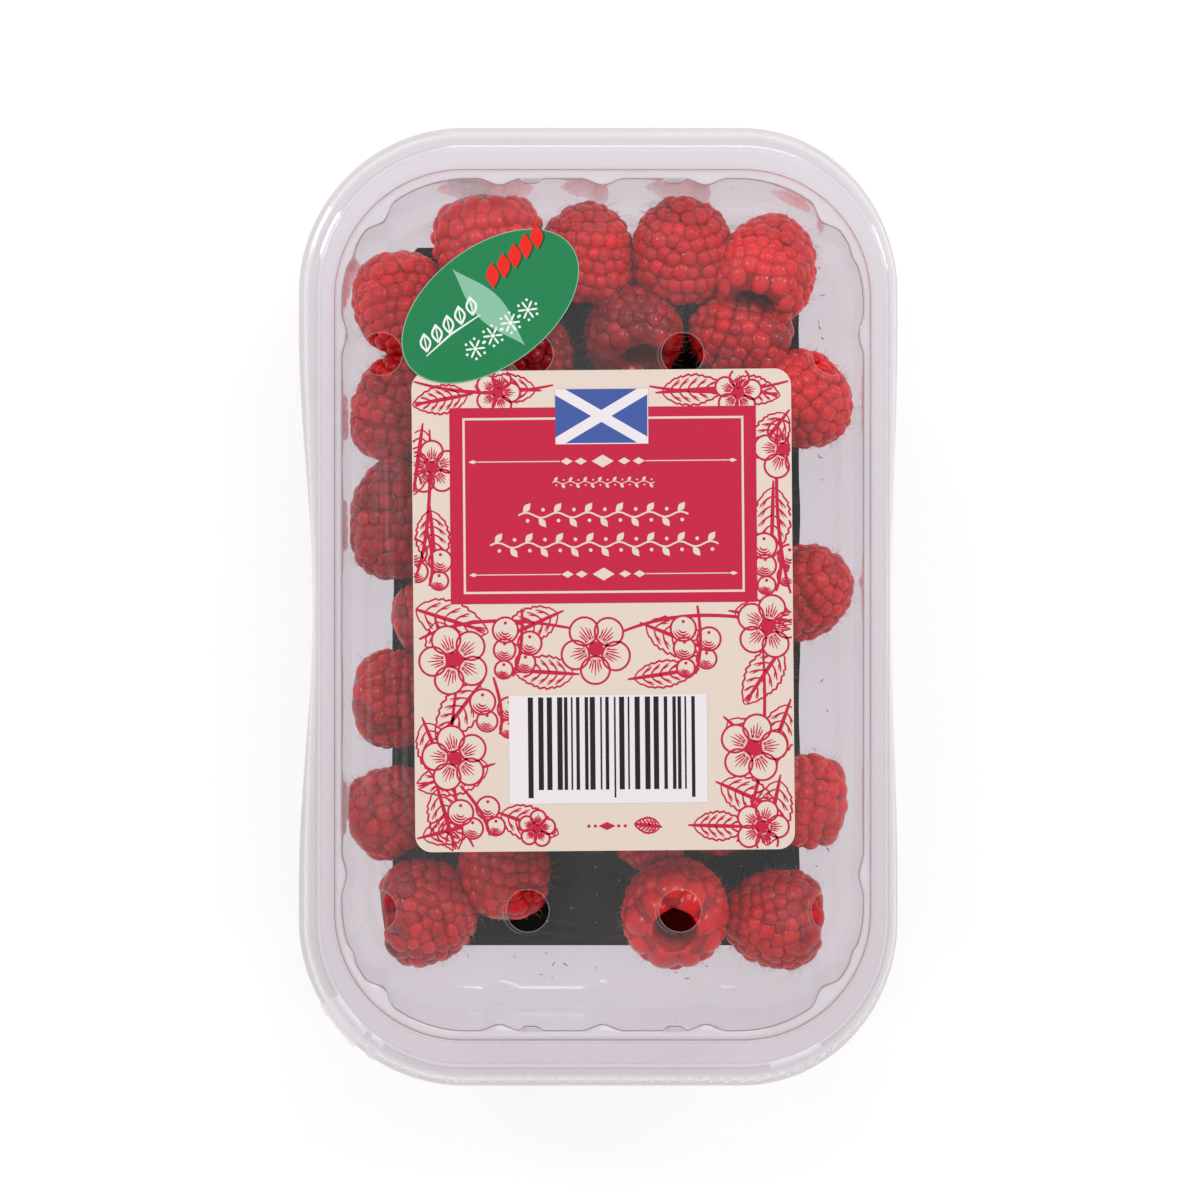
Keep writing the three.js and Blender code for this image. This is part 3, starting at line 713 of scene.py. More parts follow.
def build_film():
    """Flat over the flange and down over the bead, with its vent holes."""
    steps = 48
    top_ring = outline(BEAD, FILM_TOP, FILM_FLAT)
    count = len(top_ring)
    flat = [tuple(point[:2]) for point in top_ring]
    edges = [(i, (i + 1) % count) for i in range(count)]
    for vent in VENTS:
        start = len(flat)
        flat += circle(*vent, VENT_RADIUS, steps)
        edges += [(start + i, start + (i + 1) % steps) for i in range(steps)]
    plane, _, triangles, origins, _, _ = delaunay_2d_cdt(flat, edges, [], 1, 1e-6)
    kept = []
    for triangle in triangles:
        middle = np.mean([plane[i] for i in triangle], axis=0)
        if all(math.hypot(middle[0] - x, middle[1] - y) > VENT_RADIUS * 0.99 for x, y in VENTS):
            kept.append(tuple(triangle))
    size = len(plane)
    points = [(x, y, FILM_TOP) for x, y in plane] + [(x, y, FILM_BASE) for x, y in plane]
    faces = kept + [tuple(size + i for i in triangle[::-1]) for triangle in kept]
    index = {old: new for new, olds in enumerate(origins) for old in olds}
    for vent in range(len(VENTS)):
        loop = [index[count + vent * steps + i] for i in range(steps)]
        faces += [(a, b, size + b, size + a) for a, b in zip(loop, loop[1:] + loop[:1])]
    edge = FLANGE_TOP - SKIRT_DROP * FILM_REACH
    cover = FILM_CLEAR + FILM
    skirt = [
        top_ring,
        outline(BEAD, FILM_TOP - 0.03, -0.15),
        outline(BEAD, FILM_TOP - 0.14, 0.12),
        outline(BEAD, FILM_TOP - 0.5, cover + 0.12 * FLARE),
        outline(BEAD, edge, cover + FILM_REACH * FLARE),
        outline(BEAD, edge, FILM_CLEAR + FILM_REACH * FLARE),
        outline(BEAD, FILM_TOP - 0.55, FILM_CLEAR + 0.12 * FLARE),
        outline(BEAD, FILM_BASE, FILM_FLAT),
    ]
    start = len(points)
    flat_faces = len(faces)
    points += [tuple(point) for ring in skirt for point in ring]
    faces += [tuple(start + i for i in face) for face in ring_faces(skirt)]
    smooth = np.arange(len(faces)) >= flat_faces
    make_piece("film_sheet", points, faces, "film", ["film"], smooth)


# Raspberries
def profile_at(share):
    shares, radii = zip(*BERRY_PROFILE)
    return np.interp(share, shares, radii)


def smooth_profile(width, length):
    """Points along the berry's side from the open end to the tip, as distance, x and radius."""
    share = np.linspace(0, 1, PROFILE_STEPS)
    radius = profile_at(share)
    kernel = np.ones(7) / 7
    padded = np.concatenate([np.full(3, radius[0]), radius, -radius[-2:-5:-1]])
    radius = np.convolve(padded, kernel, "valid")
    radius[-1] = 0
    x = length * (share - 0.5)
    r = width / 2 * radius
    run = np.concatenate([[0], np.cumsum(np.hypot(np.diff(x), np.diff(r)))])
    return run, x, r


def dome_template(around, rows, reach):
    """A unit dome about +Z: points and triangles, from the pole down past its equator."""
    points = [(0.0, 0.0, 1.0)]
    for row in range(1, rows + 1):
        polar = reach * row / rows
        for step in range(around):
            angle = 2 * math.pi * (step + 0.5 * (row % 2)) / around
            out = math.sin(polar)
            points.append((out * math.cos(angle), out * math.sin(angle), math.cos(polar)))
    faces = [(0, 1 + i, 1 + (i + 1) % around) for i in range(around)]
    for row in range(1, rows):
        inner, outer = 1 + (row - 1) * around, 1 + row * around
        for i in range(around):
            j = (i + 1) % around
            faces += [(inner + i, outer + i, outer + j), (inner + i, outer + j, inner + j)]
    return np.array(points), np.array(faces)


FINE_DOME = dome_template(14, 5, math.radians(100))
PLAIN_DOME = dome_template(9, 3, math.radians(95))


def drupelet_places(width, length, crown, rng):
    """Rows of drupelets: middle, outward normal, direction along the berry, sizes along and across."""
    run, x, r = smooth_profile(width, length)
    total = run[-1]
    second = crown * 0.87 + PITCH * 0.35
    rows = max(5, 1 + round((total - second) / (PITCH * ROW_PITCH)))
    places = []
    offset = rng.uniform(0, 2 * math.pi)
    marks = [crown * 0.42, *np.linspace(second, total, rows - 1)]
    for row, mark in enumerate(marks):
        at_x, at_r = np.interp(mark, run, x), np.interp(mark, run, r)
        ahead = min(mark + 0.8, total)
        behind = max(mark - 0.8, 0)
        along = np.array([np.interp(ahead, run, line) - np.interp(behind, run, line) for line in (x, r)])
        along /= np.linalg.norm(along)
        first = 1.3 * (crown / CROWN) ** 0.6
        pitch = PITCH * (first if row == 0 else 1.12 if row == 1 else 1 - 0.14 * row / rows)
        count = max(1, round(2 * math.pi * at_r / pitch))
        offset += math.pi / count
        for i in range(count):
            angle = offset + (i + rng.normal(0, 0.1)) * 2 * math.pi / count
            slip = rng.normal(0, 0.11 * pitch) if row < rows - 1 else 0
            at_x = np.interp(mark + slip, run, x)
            at_r = np.interp(mark + slip, run, r)
            across = 2 * math.pi * at_r / count if count > 1 else pitch
            radial = np.array([0, math.cos(angle), math.sin(angle)])
            tangent = np.array([0, -math.sin(angle), math.cos(angle)])
            forward = np.array([along[0], *(along[1] * radial[1:])])
            normal = np.cross(forward, tangent)
            normal *= np.sign(normal @ (radial + np.array([0.02 * at_x, 0, 0]))) or 1
            if count == 1:
                normal, forward = np.array([1.0, 0, 0]), np.array([0, 1.0, 0])
                tangent = np.array([0, 0, 1.0])
            middle = np.array([at_x, 0, 0]) + radial * at_r
            lengthwise = crown * 0.62 * rng.normal(1, 0.1) if row == 0 else pitch * 0.6
            places.append((middle, normal, forward, tangent, lengthwise, across * 0.62))
    return places


def berry_mesh(width, length, shade, crown, template, rng):
    """One berry along +X, open end first: its drupelets over a core, and the hollow inside it."""
    dome_points, dome_faces = template
    domes, tones = [], []
    for middle, normal, forward, tangent, lengthwise, across in drupelet_places(width, length, crown, rng):
        size = np.clip(rng.normal(1.03, 0.09), 0.85, 1.25)
        deep = 0.4 * (min(lengthwise, 1.3 * across) + across) * rng.normal(1.0, 0.05)
        rise = rng.normal(0, 0.12)
        base = middle + normal * (rise - deep)
        tilt = forward * rng.normal(0, 0.12) + tangent * rng.normal(0, 0.12)
        up = normal + tilt
        up /= np.linalg.norm(up)
        local = dome_points[:, 0:1] * forward * lengthwise * size
        local = local + dome_points[:, 1:2] * tangent * across * size + dome_points[:, 2:3] * up * deep
        domes.append((base + local, dome_faces))
        # The berry's shade lifts or lowers each drupelet's tone: partly its own colour, partly painted light
        # and shade
        tone = np.clip(rng.normal(0.55, 0.12), 0, 1) + shade
        tones.append(np.full(len(local), tone))
    points, faces = merged(domes)
    core_points, core_faces, core_tones = core_mesh(width, length)
    points, faces = merged([(clear_hollow(points, width, length), faces), (core_points, core_faces)])
    return points, faces, np.concatenate([*tones, core_tones])


def clear_hollow(points, width, length):
    """Points of the drupelets, kept out of the hollow."""
    shares, radii = np.array(HOLLOW[::-1]).T
    share = points[:, 0] / length + 0.5
    least = width / 2 * np.interp(share, shares, radii, left=0, right=0)
    radius = np.hypot(points[:, 1], points[:, 2])
    grow = np.where(radius < least, least / np.maximum(radius, 1e-6), 1)
    return np.column_stack([points[:, 0], points[:, 1] * grow, points[:, 2] * grow])


def core_mesh(width, length, around=28):
    """The flesh under the drupelets, and the hollow that the stalk's plug left."""
    _, x, r = smooth_profile(width, length)
    steps = range(2, PROFILE_STEPS, 6)
    outside = [(x[i] - (0.8 if i > 60 else 0), max(r[i] - FLESH, 0.02)) for i in steps]
    hollow = [(length * (share - 0.5), width / 2 * reach) for share, reach in HOLLOW[:-1]]
    line = hollow + outside
    rings = []
    for step, (at_x, at_r) in enumerate(line):
        angles = np.arange(around) / around * 2 * math.pi
        ripple = 1 + 0.05 * np.sin(angles * 9 + step) if step < len(hollow) else 1
        radius = at_r * ripple
        ring = [np.full(around, at_x), radius * np.cos(angles), radius * np.sin(angles)]
        rings.append(np.column_stack(ring))
    quads = np.array(ring_faces(rings))
    triangles = np.vstack([quads[:, [0, 1, 2]], quads[:, [0, 2, 3]]])
    tones = np.concatenate([np.full(around, 0.0 if i < len(hollow) - 1 else 0.15) for i in range(len(line))])
    return np.vstack(rings), triangles, tones


def turned(points, heading, tip):
    """Points of a berry along +X, tipped up and then turned to its heading."""
    rise, turn = math.radians(tip), math.radians(heading)
    x, y, z = points.T
    x, z = x * math.cos(rise) - z * math.sin(rise), x * math.sin(rise) + z * math.cos(rise)
    x, y = x * math.cos(turn) - y * math.sin(turn), x * math.sin(turn) + y * math.cos(turn)
    return np.column_stack([x, y, z])


def inside_tray(points):
    """Points pushed in where they would stand out through the wall or the pad."""
    x, y, z = points.T
    share = np.clip((z - SHEET - FILLET) / (SHOULDER - SHEET - FILLET), 0, 1)[:, None]
    foot, top = (np.array([*shape["half"], shape["corner"]]) for shape in (WALL_FOOT, WALL_TOP))
    half_x, half_y, corner = (foot + (top - foot) * share).T
    corner = corner - WALL_GAP
    x, y = x - WALL_FOOT["centre"][0], y - WALL_FOOT["centre"][1]
    flutes = np.max([swell(x - at, END_FLUTE_REACH) for at in END_FLUTES], axis=0)
    inset = WALL_GAP + END_FLUTE_DEPTH * flutes
    limit_x, limit_y = half_x - WALL_GAP, half_y - inset
    over_x, over_y = np.abs(x) - (limit_x - corner), np.abs(y) - (limit_y - corner)
    reach = np.hypot(np.maximum(over_x, 0), np.maximum(over_y, 0))
    pull = np.where(reach > corner, corner / np.maximum(reach, 1e-9), 1)
    x = np.where(over_x > 0, np.sign(x) * (limit_x - corner + over_x * pull), x)
    y = np.where(over_y > 0, np.sign(y) * (limit_y - corner + over_y * pull), y)
    z = np.maximum(z, HEAP_BASE)
    return np.column_stack([x + WALL_FOOT["centre"][0], y + WALL_FOOT["centre"][1], z])


def seated(points, x, y, width, length, heading, tip):
    """Points of a berry along +X, turned to its heading and set down on the pad."""
    rise = math.radians(tip)
    half = math.hypot(width / 2 * math.cos(rise), length / 2 * math.sin(rise))
    return inside_tray(turned(points, heading, tip) + np.array([x, y, HEAP_BASE + SETTLE * half]))


def place_berry(berry, template, rng):
    *place, shade, crown = berry
    points, faces, tones = berry_mesh(*place[2:4], shade, crown, template, rng)
    roll = rng.uniform(0, 2 * math.pi)
    spun = points.copy()
    spun[:, 1] = points[:, 1] * math.cos(roll) - points[:, 2] * math.sin(roll)
    spun[:, 2] = points[:, 1] * math.sin(roll) + points[:, 2] * math.cos(roll)
    return seated(spun, *place), faces, tones


def build_berries(name, berries, template, replaced=()):
    placed = [place_berry(berry, template, draw) for berry in berries]
    points, faces = merged([(points, faces) for points, faces, _ in placed])
    tone = np.concatenate([tones for _, _, tones in placed])
    make_piece(name, points, faces.tolist(), "flesh", replaced, tone=tone)


def build_pad():
    """The soaker pad, with slightly uneven cut edges."""
    half_x, half_y = PAD_SIZE[0] / 2, PAD_SIZE[1] / 2
    steps = 48
    along = np.linspace(-1, 1, steps)
    wobble = 0.15 * (np.sin(np.arange(steps) * 0.7) - 1) + draw.normal(0, 0.03, steps)
    right = [(half_x + w, t * (half_y - PAD_CORNER)) for w, t in zip(wobble, along)]
    left = [(-half_x - w, -t * (half_y - PAD_CORNER)) for w, t in zip(wobble[::-1], along)]
    rim = right + [(half_x - PAD_CORNER, half_y), (PAD_CORNER - half_x, half_y)]
    rim += left + [(PAD_CORNER - half_x, -half_y), (half_x - PAD_CORNER, -half_y)]
    plate("pad_sheet", rim, PAD_BASE, PAD_TOP, PAD_CENTRE, 0.0, "pad", ["pad"])


def flat_polygon(corners):
    """Triangles of one flat polygon."""
    return [tuple(t) for t in tessellate_polygon([[(x, y, 0.0) for x, y in corners]])]


class Print:
    """Flat shapes of one colour at one height, gathered into one piece and trimmed to its frame."""

    def __init__(self, name, material, slot, z, centre, turn, frame=None):
        self.name, self.material, self.slot, self.z = name, material, slot, z
        self.centre, self.turn, self.frame = centre, turn, frame
        self.points, self.faces, self.shapes = [], [], 0

    def add(self, corners):
        """Keeps the corners of one shape, each shape a hair higher than the one before."""
        start = len(self.points)
        lift = (self.shapes % LIFTS) * LIFT
        self.points += [(x, y, self.z + lift) for x, y in corners]
        self.shapes += 1
        return start

    def within(self, x, y):
        if self.frame is None:
            return True
        over_x = abs(x) - self.frame[0] + self.frame[2]
        over_y = abs(y) - self.frame[1] + self.frame[2]
        return math.hypot(max(over_x, 0), max(over_y, 0)) < self.frame[2]

    def polygon(self, corners):
        if all(self.within(x, y) for x, y in corners):
            start = self.add(corners)
            self.faces += [tuple(start + i for i in t) for t in flat_polygon(corners)]

    def box(self, left, bottom, right, top):
        self.polygon([(left, bottom), (right, bottom), (right, top), (left, top)])

    def lozenge(self, x, y, half_x, half_y):
        self.polygon([(x - half_x, y), (x, y - half_y), (x + half_x, y), (x, y + half_y)])

    def disc(self, x, y, radius, steps=16):
        self.polygon(circle(x, y, radius, steps))

    def stroke(self, line, width, ends=1.0):
        """A ribbon along a line of points; it narrows to ends times its width at both ends."""
        line = np.array(line, float)
        ahead = np.gradient(line, axis=0)
        ahead /= np.maximum(np.linalg.norm(ahead, axis=1), 1e-9)[:, None]
        side = np.column_stack([-ahead[:, 1], ahead[:, 0]])
        share = np.linspace(0, 1, len(line))
        half = width / 2 * (ends + (1 - ends) * np.sin(share * math.pi) ** 0.6)
        both = np.stack([line + side * half[:, None], line - side * half[:, None]], axis=1)
        start = self.add(both.reshape(-1, 2))
        inside = [self.within(*a) and self.within(*b) for a, b in both]
        for i in range(len(line) - 1):
            a = start + 2 * i
            if inside[i] and inside[i + 1]:
                self.faces.append((a, a + 1, a + 3, a + 2))

    def build(self):
        cos, sin = math.cos(self.turn), math.sin(self.turn)
        points = [(self.centre[0] + x * cos - y * sin, self.centre[1] + x * sin + y * cos, z)
                  for x, y, z in self.points]
        used = sorted({i for face in self.faces for i in face})
        index = {old: new for new, old in enumerate(used)}
        faces = [tuple(index[i] for i in face) for face in self.faces]
        make_piece(self.name, [points[i] for i in used], faces, self.material, smooth=False)


def rounded_rectangle(size, corner, steps=8):
    half_x, half_y = size[0] / 2 - corner, size[1] / 2 - corner
    points = []
    centres = [(half_x, half_y), (-half_x, half_y), (-half_x, -half_y), (half_x, -half_y)]
    for quarter, (x, y) in enumerate(centres):
        angles = [(quarter + step / steps) * math.pi / 2 for step in range(steps + 1)]
        points += arc(x, y, corner, corner, angles)
    return points


def plate(name, corners, base, top, centre, turn, material, replaced):
    """A thin plate of an outline, turned about its centre."""
    cos, sin = math.cos(turn), math.sin(turn)
    rim = [(centre[0] + x * cos - y * sin, centre[1] + x * sin + y * cos) for x, y in corners]
    count = len(rim)
    points = [(x, y, top) for x, y in rim] + [(x, y, base) for x, y in rim]
    cover = flat_polygon(rim)
    faces = cover + [tuple(count + i for i in t[::-1]) for t in cover]
    faces += [(i, count + i, count + (i + 1) % count, (i + 1) % count) for i in range(count)]
    make_piece(name, points, faces, material, replaced, smooth=False)


def build_label():
    plate("label_sheet", rounded_rectangle(LABEL_SIZE, LABEL_CORNER), LABEL_BASE, LABEL_TOP,
          LABEL_CENTRE, LABEL_TURN, "label", ["label"])

    def sheet(name, colour, level):
        height = LABEL_TOP + level * LAYER
        return Print(name, colour, "label_paper", height, LABEL_CENTRE, LABEL_TURN, LABEL_FRAME)

    def filled(name, colour, level, corners):
        piece = sheet(name, colour, level)
        piece.box(*corners)
        piece.build()

    leaves = sheet("label_leaves", "crimson", 1)
    cover = sheet("label_cover", "cream", 2)
    fruits = sheet("label_fruits", "crimson", 3)
    draw_garden(leaves, cover, fruits)
    for piece in (leaves, cover, fruits):
        piece.build()
    filled("label_panel", "crimson", 4, PANEL)
    filled("label_field", "field", 4, BAR_FIELD)
    lines = sheet("label_lines", "cream", 5)
    left, bottom, right, top = PANEL_LINE
    lines.box(left, bottom, left + RULE, top)
    lines.box(right - RULE, bottom, right, top)
    lines.box(left + RULE, bottom, right - RULE, bottom + RULE)
    lines.box(left + RULE, top - RULE, right - RULE, top)
    for level in ORNAMENT_LEVELS:
        ornament_line(lines, level)
    for vine in VINES:
        leaf_band(lines, *vine)
    lines.build()
    bars = sheet("label_bars", "bars", 5)
    draw_bars(bars)
    bars.build()
    filled("label_flag", "blue", 6, FLAG)
    cross = sheet("label_cross", "field", 7)
    draw_cross(cross)
    cross.build()


def draw_bars(bars):
    """A made-up row of bars, with longer ones at its ends and middle."""
    rng = np.random.default_rng(4)
    left, foot, right, top = BARS
    first, last, middle = GUARD_REACH
    x = left
    while x < right - BAR_UNIT:
        width = min(BAR_UNIT * rng.integers(1, 4), right - x)
        guard = x < left + first or x > right - last or abs(x - (left + right) / 2) < middle
        bars.box(x, GUARD_FOOT if guard else foot, x + width, top)
        x += width + BAR_UNIT * rng.integers(1, 4)


def draw_cross(cross):
    """A diagonal cross from corner to corner of the flag, with a thin edging at its right and foot."""
    left, bottom, right, top = FLAG
    width, height = right - left, top - bottom
    diagonal = math.hypot(width, height)
    reach_x, reach_y = CROSS_HALF * diagonal / height, CROSS_HALF * diagonal / width
    cross.polygon([(left, bottom), (left + reach_x, bottom), (right, top - reach_y), (right, top),
                   (right - reach_x, top), (left, bottom + reach_y)])
    cross.polygon([(left, top), (left, top - reach_y), (right - reach_x, bottom), (right, bottom),
                   (right, bottom + reach_y), (left + reach_x, top)])
    beside, below = FLAG_EDGES
    cross.box(left, bottom - below, right + beside, bottom)
    cross.box(right, bottom, right + beside, top)


def bezier(start, bend, end, steps=14):
    """Points of a curve from start to end, drawn towards bend."""
    t = np.linspace(0, 1, steps)[:, None]
    return (1 - t) ** 2 * np.array(start) + 2 * t * (1 - t) * np.array(bend) + t ** 2 * np.array(end)


def moved(line, x, y, angle, scale=1.0):
    """A line turned by an angle in degrees, scaled and put at a place."""
    turn = math.radians(angle)
    line = np.array(line, float) * scale
    return np.column_stack([x + line[:, 0] * math.cos(turn) - line[:, 1] * math.sin(turn),
                            y + line[:, 0] * math.sin(turn) + line[:, 1] * math.cos(turn)])


def almond(length, width, steps=12):
    """A pointed leaf blade from its stalk at 0 to its tip at length."""
    share = np.linspace(0, 1, steps)
    half = width / 2 * np.sin(share * math.pi) ** 1.3
    edge = np.column_stack([share * length, half])
    return np.vstack([edge, edge[-2:0:-1] * [1, -1]])


def leaf_band(lines, left, right, level, height):
    """A vine: a wavy stem with a leaf at each bend, in turn above and below, and a bead across from it."""
    count = round((right - left) / (height * 0.62))
    pitch = (right - left) / count
    wave = np.linspace(0, count, count * 8)
    stem = np.column_stack([left + pitch * wave, level + height * 0.1 * np.sin(wave * math.pi)])
    lines.stroke(stem, height * 0.07)
    for i in range(count):
        side = 1 if i % 2 == 0 else -1
        x = left + (i + 0.5) * pitch
        root = level + side * height * 0.1
        blade = moved(almond(height * 0.5, height * 0.26), x - pitch * 0.2, root, side * 52)
        lines.polygon(blade)
        lines.disc(x + pitch * 0.1, level - side * height * 0.22, height * 0.075, 10)


def draw_leaf(art, x, y, angle, length, width):
    """A toothed leaf in outline with a bold midrib and side veins, from its stalk outwards."""
    for side in (1, -1):
        share = np.linspace(0, 1, 34)
        teeth = 1 + 0.16 * ((share * 9) % 1 - 0.5)
        half = side * width / 2 * np.sin(share ** 0.85 * math.pi) ** 0.75 * teeth
        edge = np.column_stack([share * length, half])
        art.stroke(moved(edge, x, y, angle), LINE, 0.6)
        for start in np.arange(0.12, 0.8, 0.135):
            reach = width * 0.4 * math.sin(min(start + 0.16, 0.97) ** 0.85 * math.pi) ** 0.8
            end = length * min(start + 0.17, 0.97)
            bend = (length * (start + 0.05), side * reach * 0.6)
            vein = bezier((length * start, 0), bend, (end, side * reach), 8)
            art.stroke(moved(vein, x, y, angle), LINE * 0.9, 0.4)
            for back in (0.35, 0.62):
                twig = [vein[3], vein[3] + (vein[-1] - vein[3]) * back + [length * 0.045, 0]]
                art.stroke(moved(bezier(twig[0], twig[0], twig[1], 4), x, y, angle), LINE * 0.5, 0.4)
    rib = np.column_stack([np.linspace(-0.1, 0.96, 12) * length, np.zeros(12)])
    art.stroke(moved(rib, x, y, angle), LINE * 1.9, 0.4)


def draw_blossom(cover, art, x, y, radius, turn):
    """Five round petals in outline with fine rays, a bold middle and a ring of stamens."""
    for petal in range(5):
        angle = turn + petal * 72
        oval = [(radius * (0.62 + 0.4 * math.cos(a)), radius * 0.42 * math.sin(a)) for a in FULL_TURN]
        loop = moved(oval, x, y, angle)
        cover.polygon(loop[:-1])
        art.stroke(loop, LINE)
        for spread in (-17, -9, 0, 9, 17):
            ray = [(radius * r, 0) for r in (0.3, 0.5, 0.78 - abs(spread) * 0.009)]
            art.stroke(moved(ray, x, y, angle + spread), LINE * 0.75, 0.4)
    art.disc(x, y, radius * 0.22)
    for stamen in np.arange(0, 360, 24):
        art.disc(*moved([(radius * 0.36, 0)], x, y, stamen)[0], LINE * 0.6, 8)


def draw_currants(cover, art, x, y, angle, count):
    """A string of round currants in outline, larger near its stalk, each with a shaded side and an eye."""
    stem = bezier((-3, 0), (count * 1.1, 1.6), (count * 2.1, 0), 16)
    art.stroke(moved(stem, x, y, angle), LINE * 1.6, 0.6)
    for i in range(count):
        radius = 2.5 - 0.9 * i / count
        side = 1 if i % 2 else -1
        middle = moved([(1.6 + i * 1.95, side * (radius + 0.15))], x, y, angle)[0]
        cover.disc(*middle, radius, 20)
        art.stroke(arc(*middle, radius, radius, FULL_TURN), LINE)
        for inner in (radius * 0.78, radius * 0.56, radius * 0.34):
            art.stroke(arc(*middle, inner, inner, np.linspace(3.4, 5.6, 8)), LINE * 0.9, 0.3)
        art.disc(*(middle + [0, radius * 0.55]), 0.34, 8)


def draw_garden(leaves, cover, fruits):
    """Leaves, blossoms and strings of currants round the panel and the bars."""
    for stem in STEMS:
        leaves.stroke(bezier(*stem, 24), LINE * 1.7, 0.5)
    for leaf in LEAVES:
        draw_leaf(leaves, *leaf)
    for currants in CURRANTS:
        draw_currants(cover, fruits, *currants)
    for blossom in BLOSSOMS:
        draw_blossom(cover, fruits, *blossom)
    fruits.lozenge(0.4, FOOT_MARK, 1.7, 0.8)
    for x in (-3.2, -1.9, 2.7, 4.0):
        fruits.disc(x, FOOT_MARK, 0.32, 10)


def ornament_line(lines, level):
    """A fine line with diamonds at its middle and small lozenges at its ends."""
    for left, right in ORNAMENT_LINES:
        lines.box(left, level - ORNAMENT_HALF, right, level + ORNAMENT_HALF)
    for x, half_x, half_y in LOZENGES:
        lines.lozenge(x, level, half_x, half_y)


def row_of(count, start, step):
    return [(start[0] + step[0] * i, start[1] + step[1] * i) for i in range(count)]


def build_sticker():
    oval = arc(0, 0, *STICKER_HALF, np.arange(72) / 72 * 2 * math.pi)
    plate("sticker_sheet", oval, LABEL_TOP + AIR, STICKER_TOP, STICKER_CENTRE, STICKER_TURN,
          "sticker", ["sticker"])

    def sheet(name, colour, level):
        height = STICKER_TOP + level * LAYER
        return Print(name, colour, "sticker_paper", height, STICKER_CENTRE, STICKER_TURN)

    pale = sheet("sticker_leaf", "pale_green", 1)
    pale.polygon(moved(almond(21, 5.6, 24), *STICKER_LEAF))
    rim = arc(0, 0, STICKER_HALF[0] - 0.1, STICKER_HALF[1] - 0.1, np.linspace(0, 2 * math.pi, 73))
    pale.stroke(rim, 0.16)
    pale.build()
    shade = sheet("sticker_shade", "deep_green", 2)
    red = sheet("sticker_petals", "red", 3)
    white = sheet("sticker_lines", "white", 2)
    for place in row_of(*PETALS):
        petal = moved(almond(5.2, 2.5), *place, 58)
        red.polygon(petal)
        shade.polygon([(x + 0.3, y - 0.3) for x, y in petal])
    blade = almond(3.6, 1.9)
    for root in row_of(*LEAFLETS):
        white.stroke(moved([*blade, blade[0]], *root, 64), LINE)
        white.stroke(moved([(0, 0), (1.8, 0), (3.5, 0)], *root, 64), 0.3, 0.5)
    white.stroke([(-16.0, -0.4), (-9.5, 0.2), (-2.6, -0.2)], LINE, 0.5)
    for middle in row_of(*STARS):
        for turn in range(0, 360, 60):
            white.stroke(moved([(0.5, 0), (1.2, 0), (1.9, 0)], *middle, turn + 30), LINE, 0.7)
            white.disc(*moved([(2.0, 0)], *middle, turn)[0], 0.28, 8)
        white.disc(*middle, 0.42, 10)
    for piece in (shade, red, white):
        piece.build()


def tube(path, radius, sides=3):
    """A thin tube along a path: points and faces."""
    path = np.array(path, float)
    ahead = np.gradient(path, axis=0)
    ahead /= np.maximum(np.linalg.norm(ahead, axis=1), 1e-9)[:, None]
    side = np.cross(ahead, [0.3, 0.5, 0.8])
    side /= np.maximum(np.linalg.norm(side, axis=1), 1e-9)[:, None]
    other = np.cross(ahead, side)
    taper = np.linspace(1, 0.3, len(path))[:, None] * radius
    angles = np.arange(sides) / sides * 2 * math.pi
    rings = np.stack([path + taper * (side * math.cos(a) + other * math.sin(a)) for a in angles], axis=1)
    return rings.reshape(-1, 3), ring_faces(rings)


def build_hairs():
    """Fine short hairs that stand out all round the berries that show."""
    strands = []
    for *place, _, _ in SHOWN:
        width, length = place[2:4]
        for _ in range(HAIRS):
            share = draw.uniform(0.04, 0.98)
            angle = draw.uniform(0, 2 * math.pi)
            radius = width / 2 * profile_at(share) * 0.98
            radial = np.array([(share - 0.45) * 0.9, math.cos(angle), math.sin(angle)])
            radial /= np.linalg.norm(radial)
            root = np.array([length * (share - 0.5), radius * math.cos(angle), radius * math.sin(angle)])
            bend = draw.normal(0, 0.45, 3)
            reach = draw.uniform(*HAIR_REACH)
            path = [root + radial * reach * t + bend * t * t for t in (0, 0.5, 1)]
            strands.append(tube(seated(np.array(path), *place), HAIR_RADIUS))
    points, faces = merged(strands)
    make_piece("berry_hairs", points, faces.tolist(), "hair")


def build_specks():
    """Pin pricks in the pad, in a staggered grid, and short hairs and bits on the tray's floor."""
    pricks = Print("pad_pricks", "speck", "pad_fleece", PAD_TOP + 0.03, PAD_CENTRE, 0.0)
    columns, rows = int(PAD_SIZE[0] / PRICK_PITCH[0]), int(PAD_SIZE[1] / PRICK_PITCH[1])
    for column in range(-(columns // 2), columns // 2 + 1):
        for row in range(-(rows // 2), rows // 2):
            if draw.random() < PRICKS_LEFT_OUT:
                continue
            x = column * PRICK_PITCH[0] + draw.normal(0, 0.15)
            y = (row + 0.5 * (column % 2)) * PRICK_PITCH[1] + draw.normal(0, 0.15)
            if abs(x) < PAD_SIZE[0] / 2 - 1 and abs(y) < PAD_SIZE[1] / 2 - 1:
                pricks.disc(x, y, draw.uniform(*PRICK_RADIUS), 6)
    pricks.build()
    bits = Print("tray_bits", "bit", "berry_flesh", SHEET + 0.04, WALL_FOOT["centre"], 0.0)
    (aside, end), (beside, along) = BITS_AT_END, BITS_BESIDE
    for _ in range(BITS):
        at_end = draw.random() < 0.5
        x = draw.uniform(-aside, aside) if at_end else draw.uniform(*beside) * draw.choice([-1, 1])
        y = draw.uniform(*end) * draw.choice([-1, -1, 1]) if at_end else draw.uniform(-along, along)
        reach = draw.uniform(0.3, 1.2)
        line = bezier((0, 0), (reach / 2, draw.normal(0, 0.3)), (reach, 0), 5)
        bits.stroke(moved(line, x, y, draw.uniform(0, 360)), draw.uniform(0.1, 0.22), 0.5)
    bits.build()


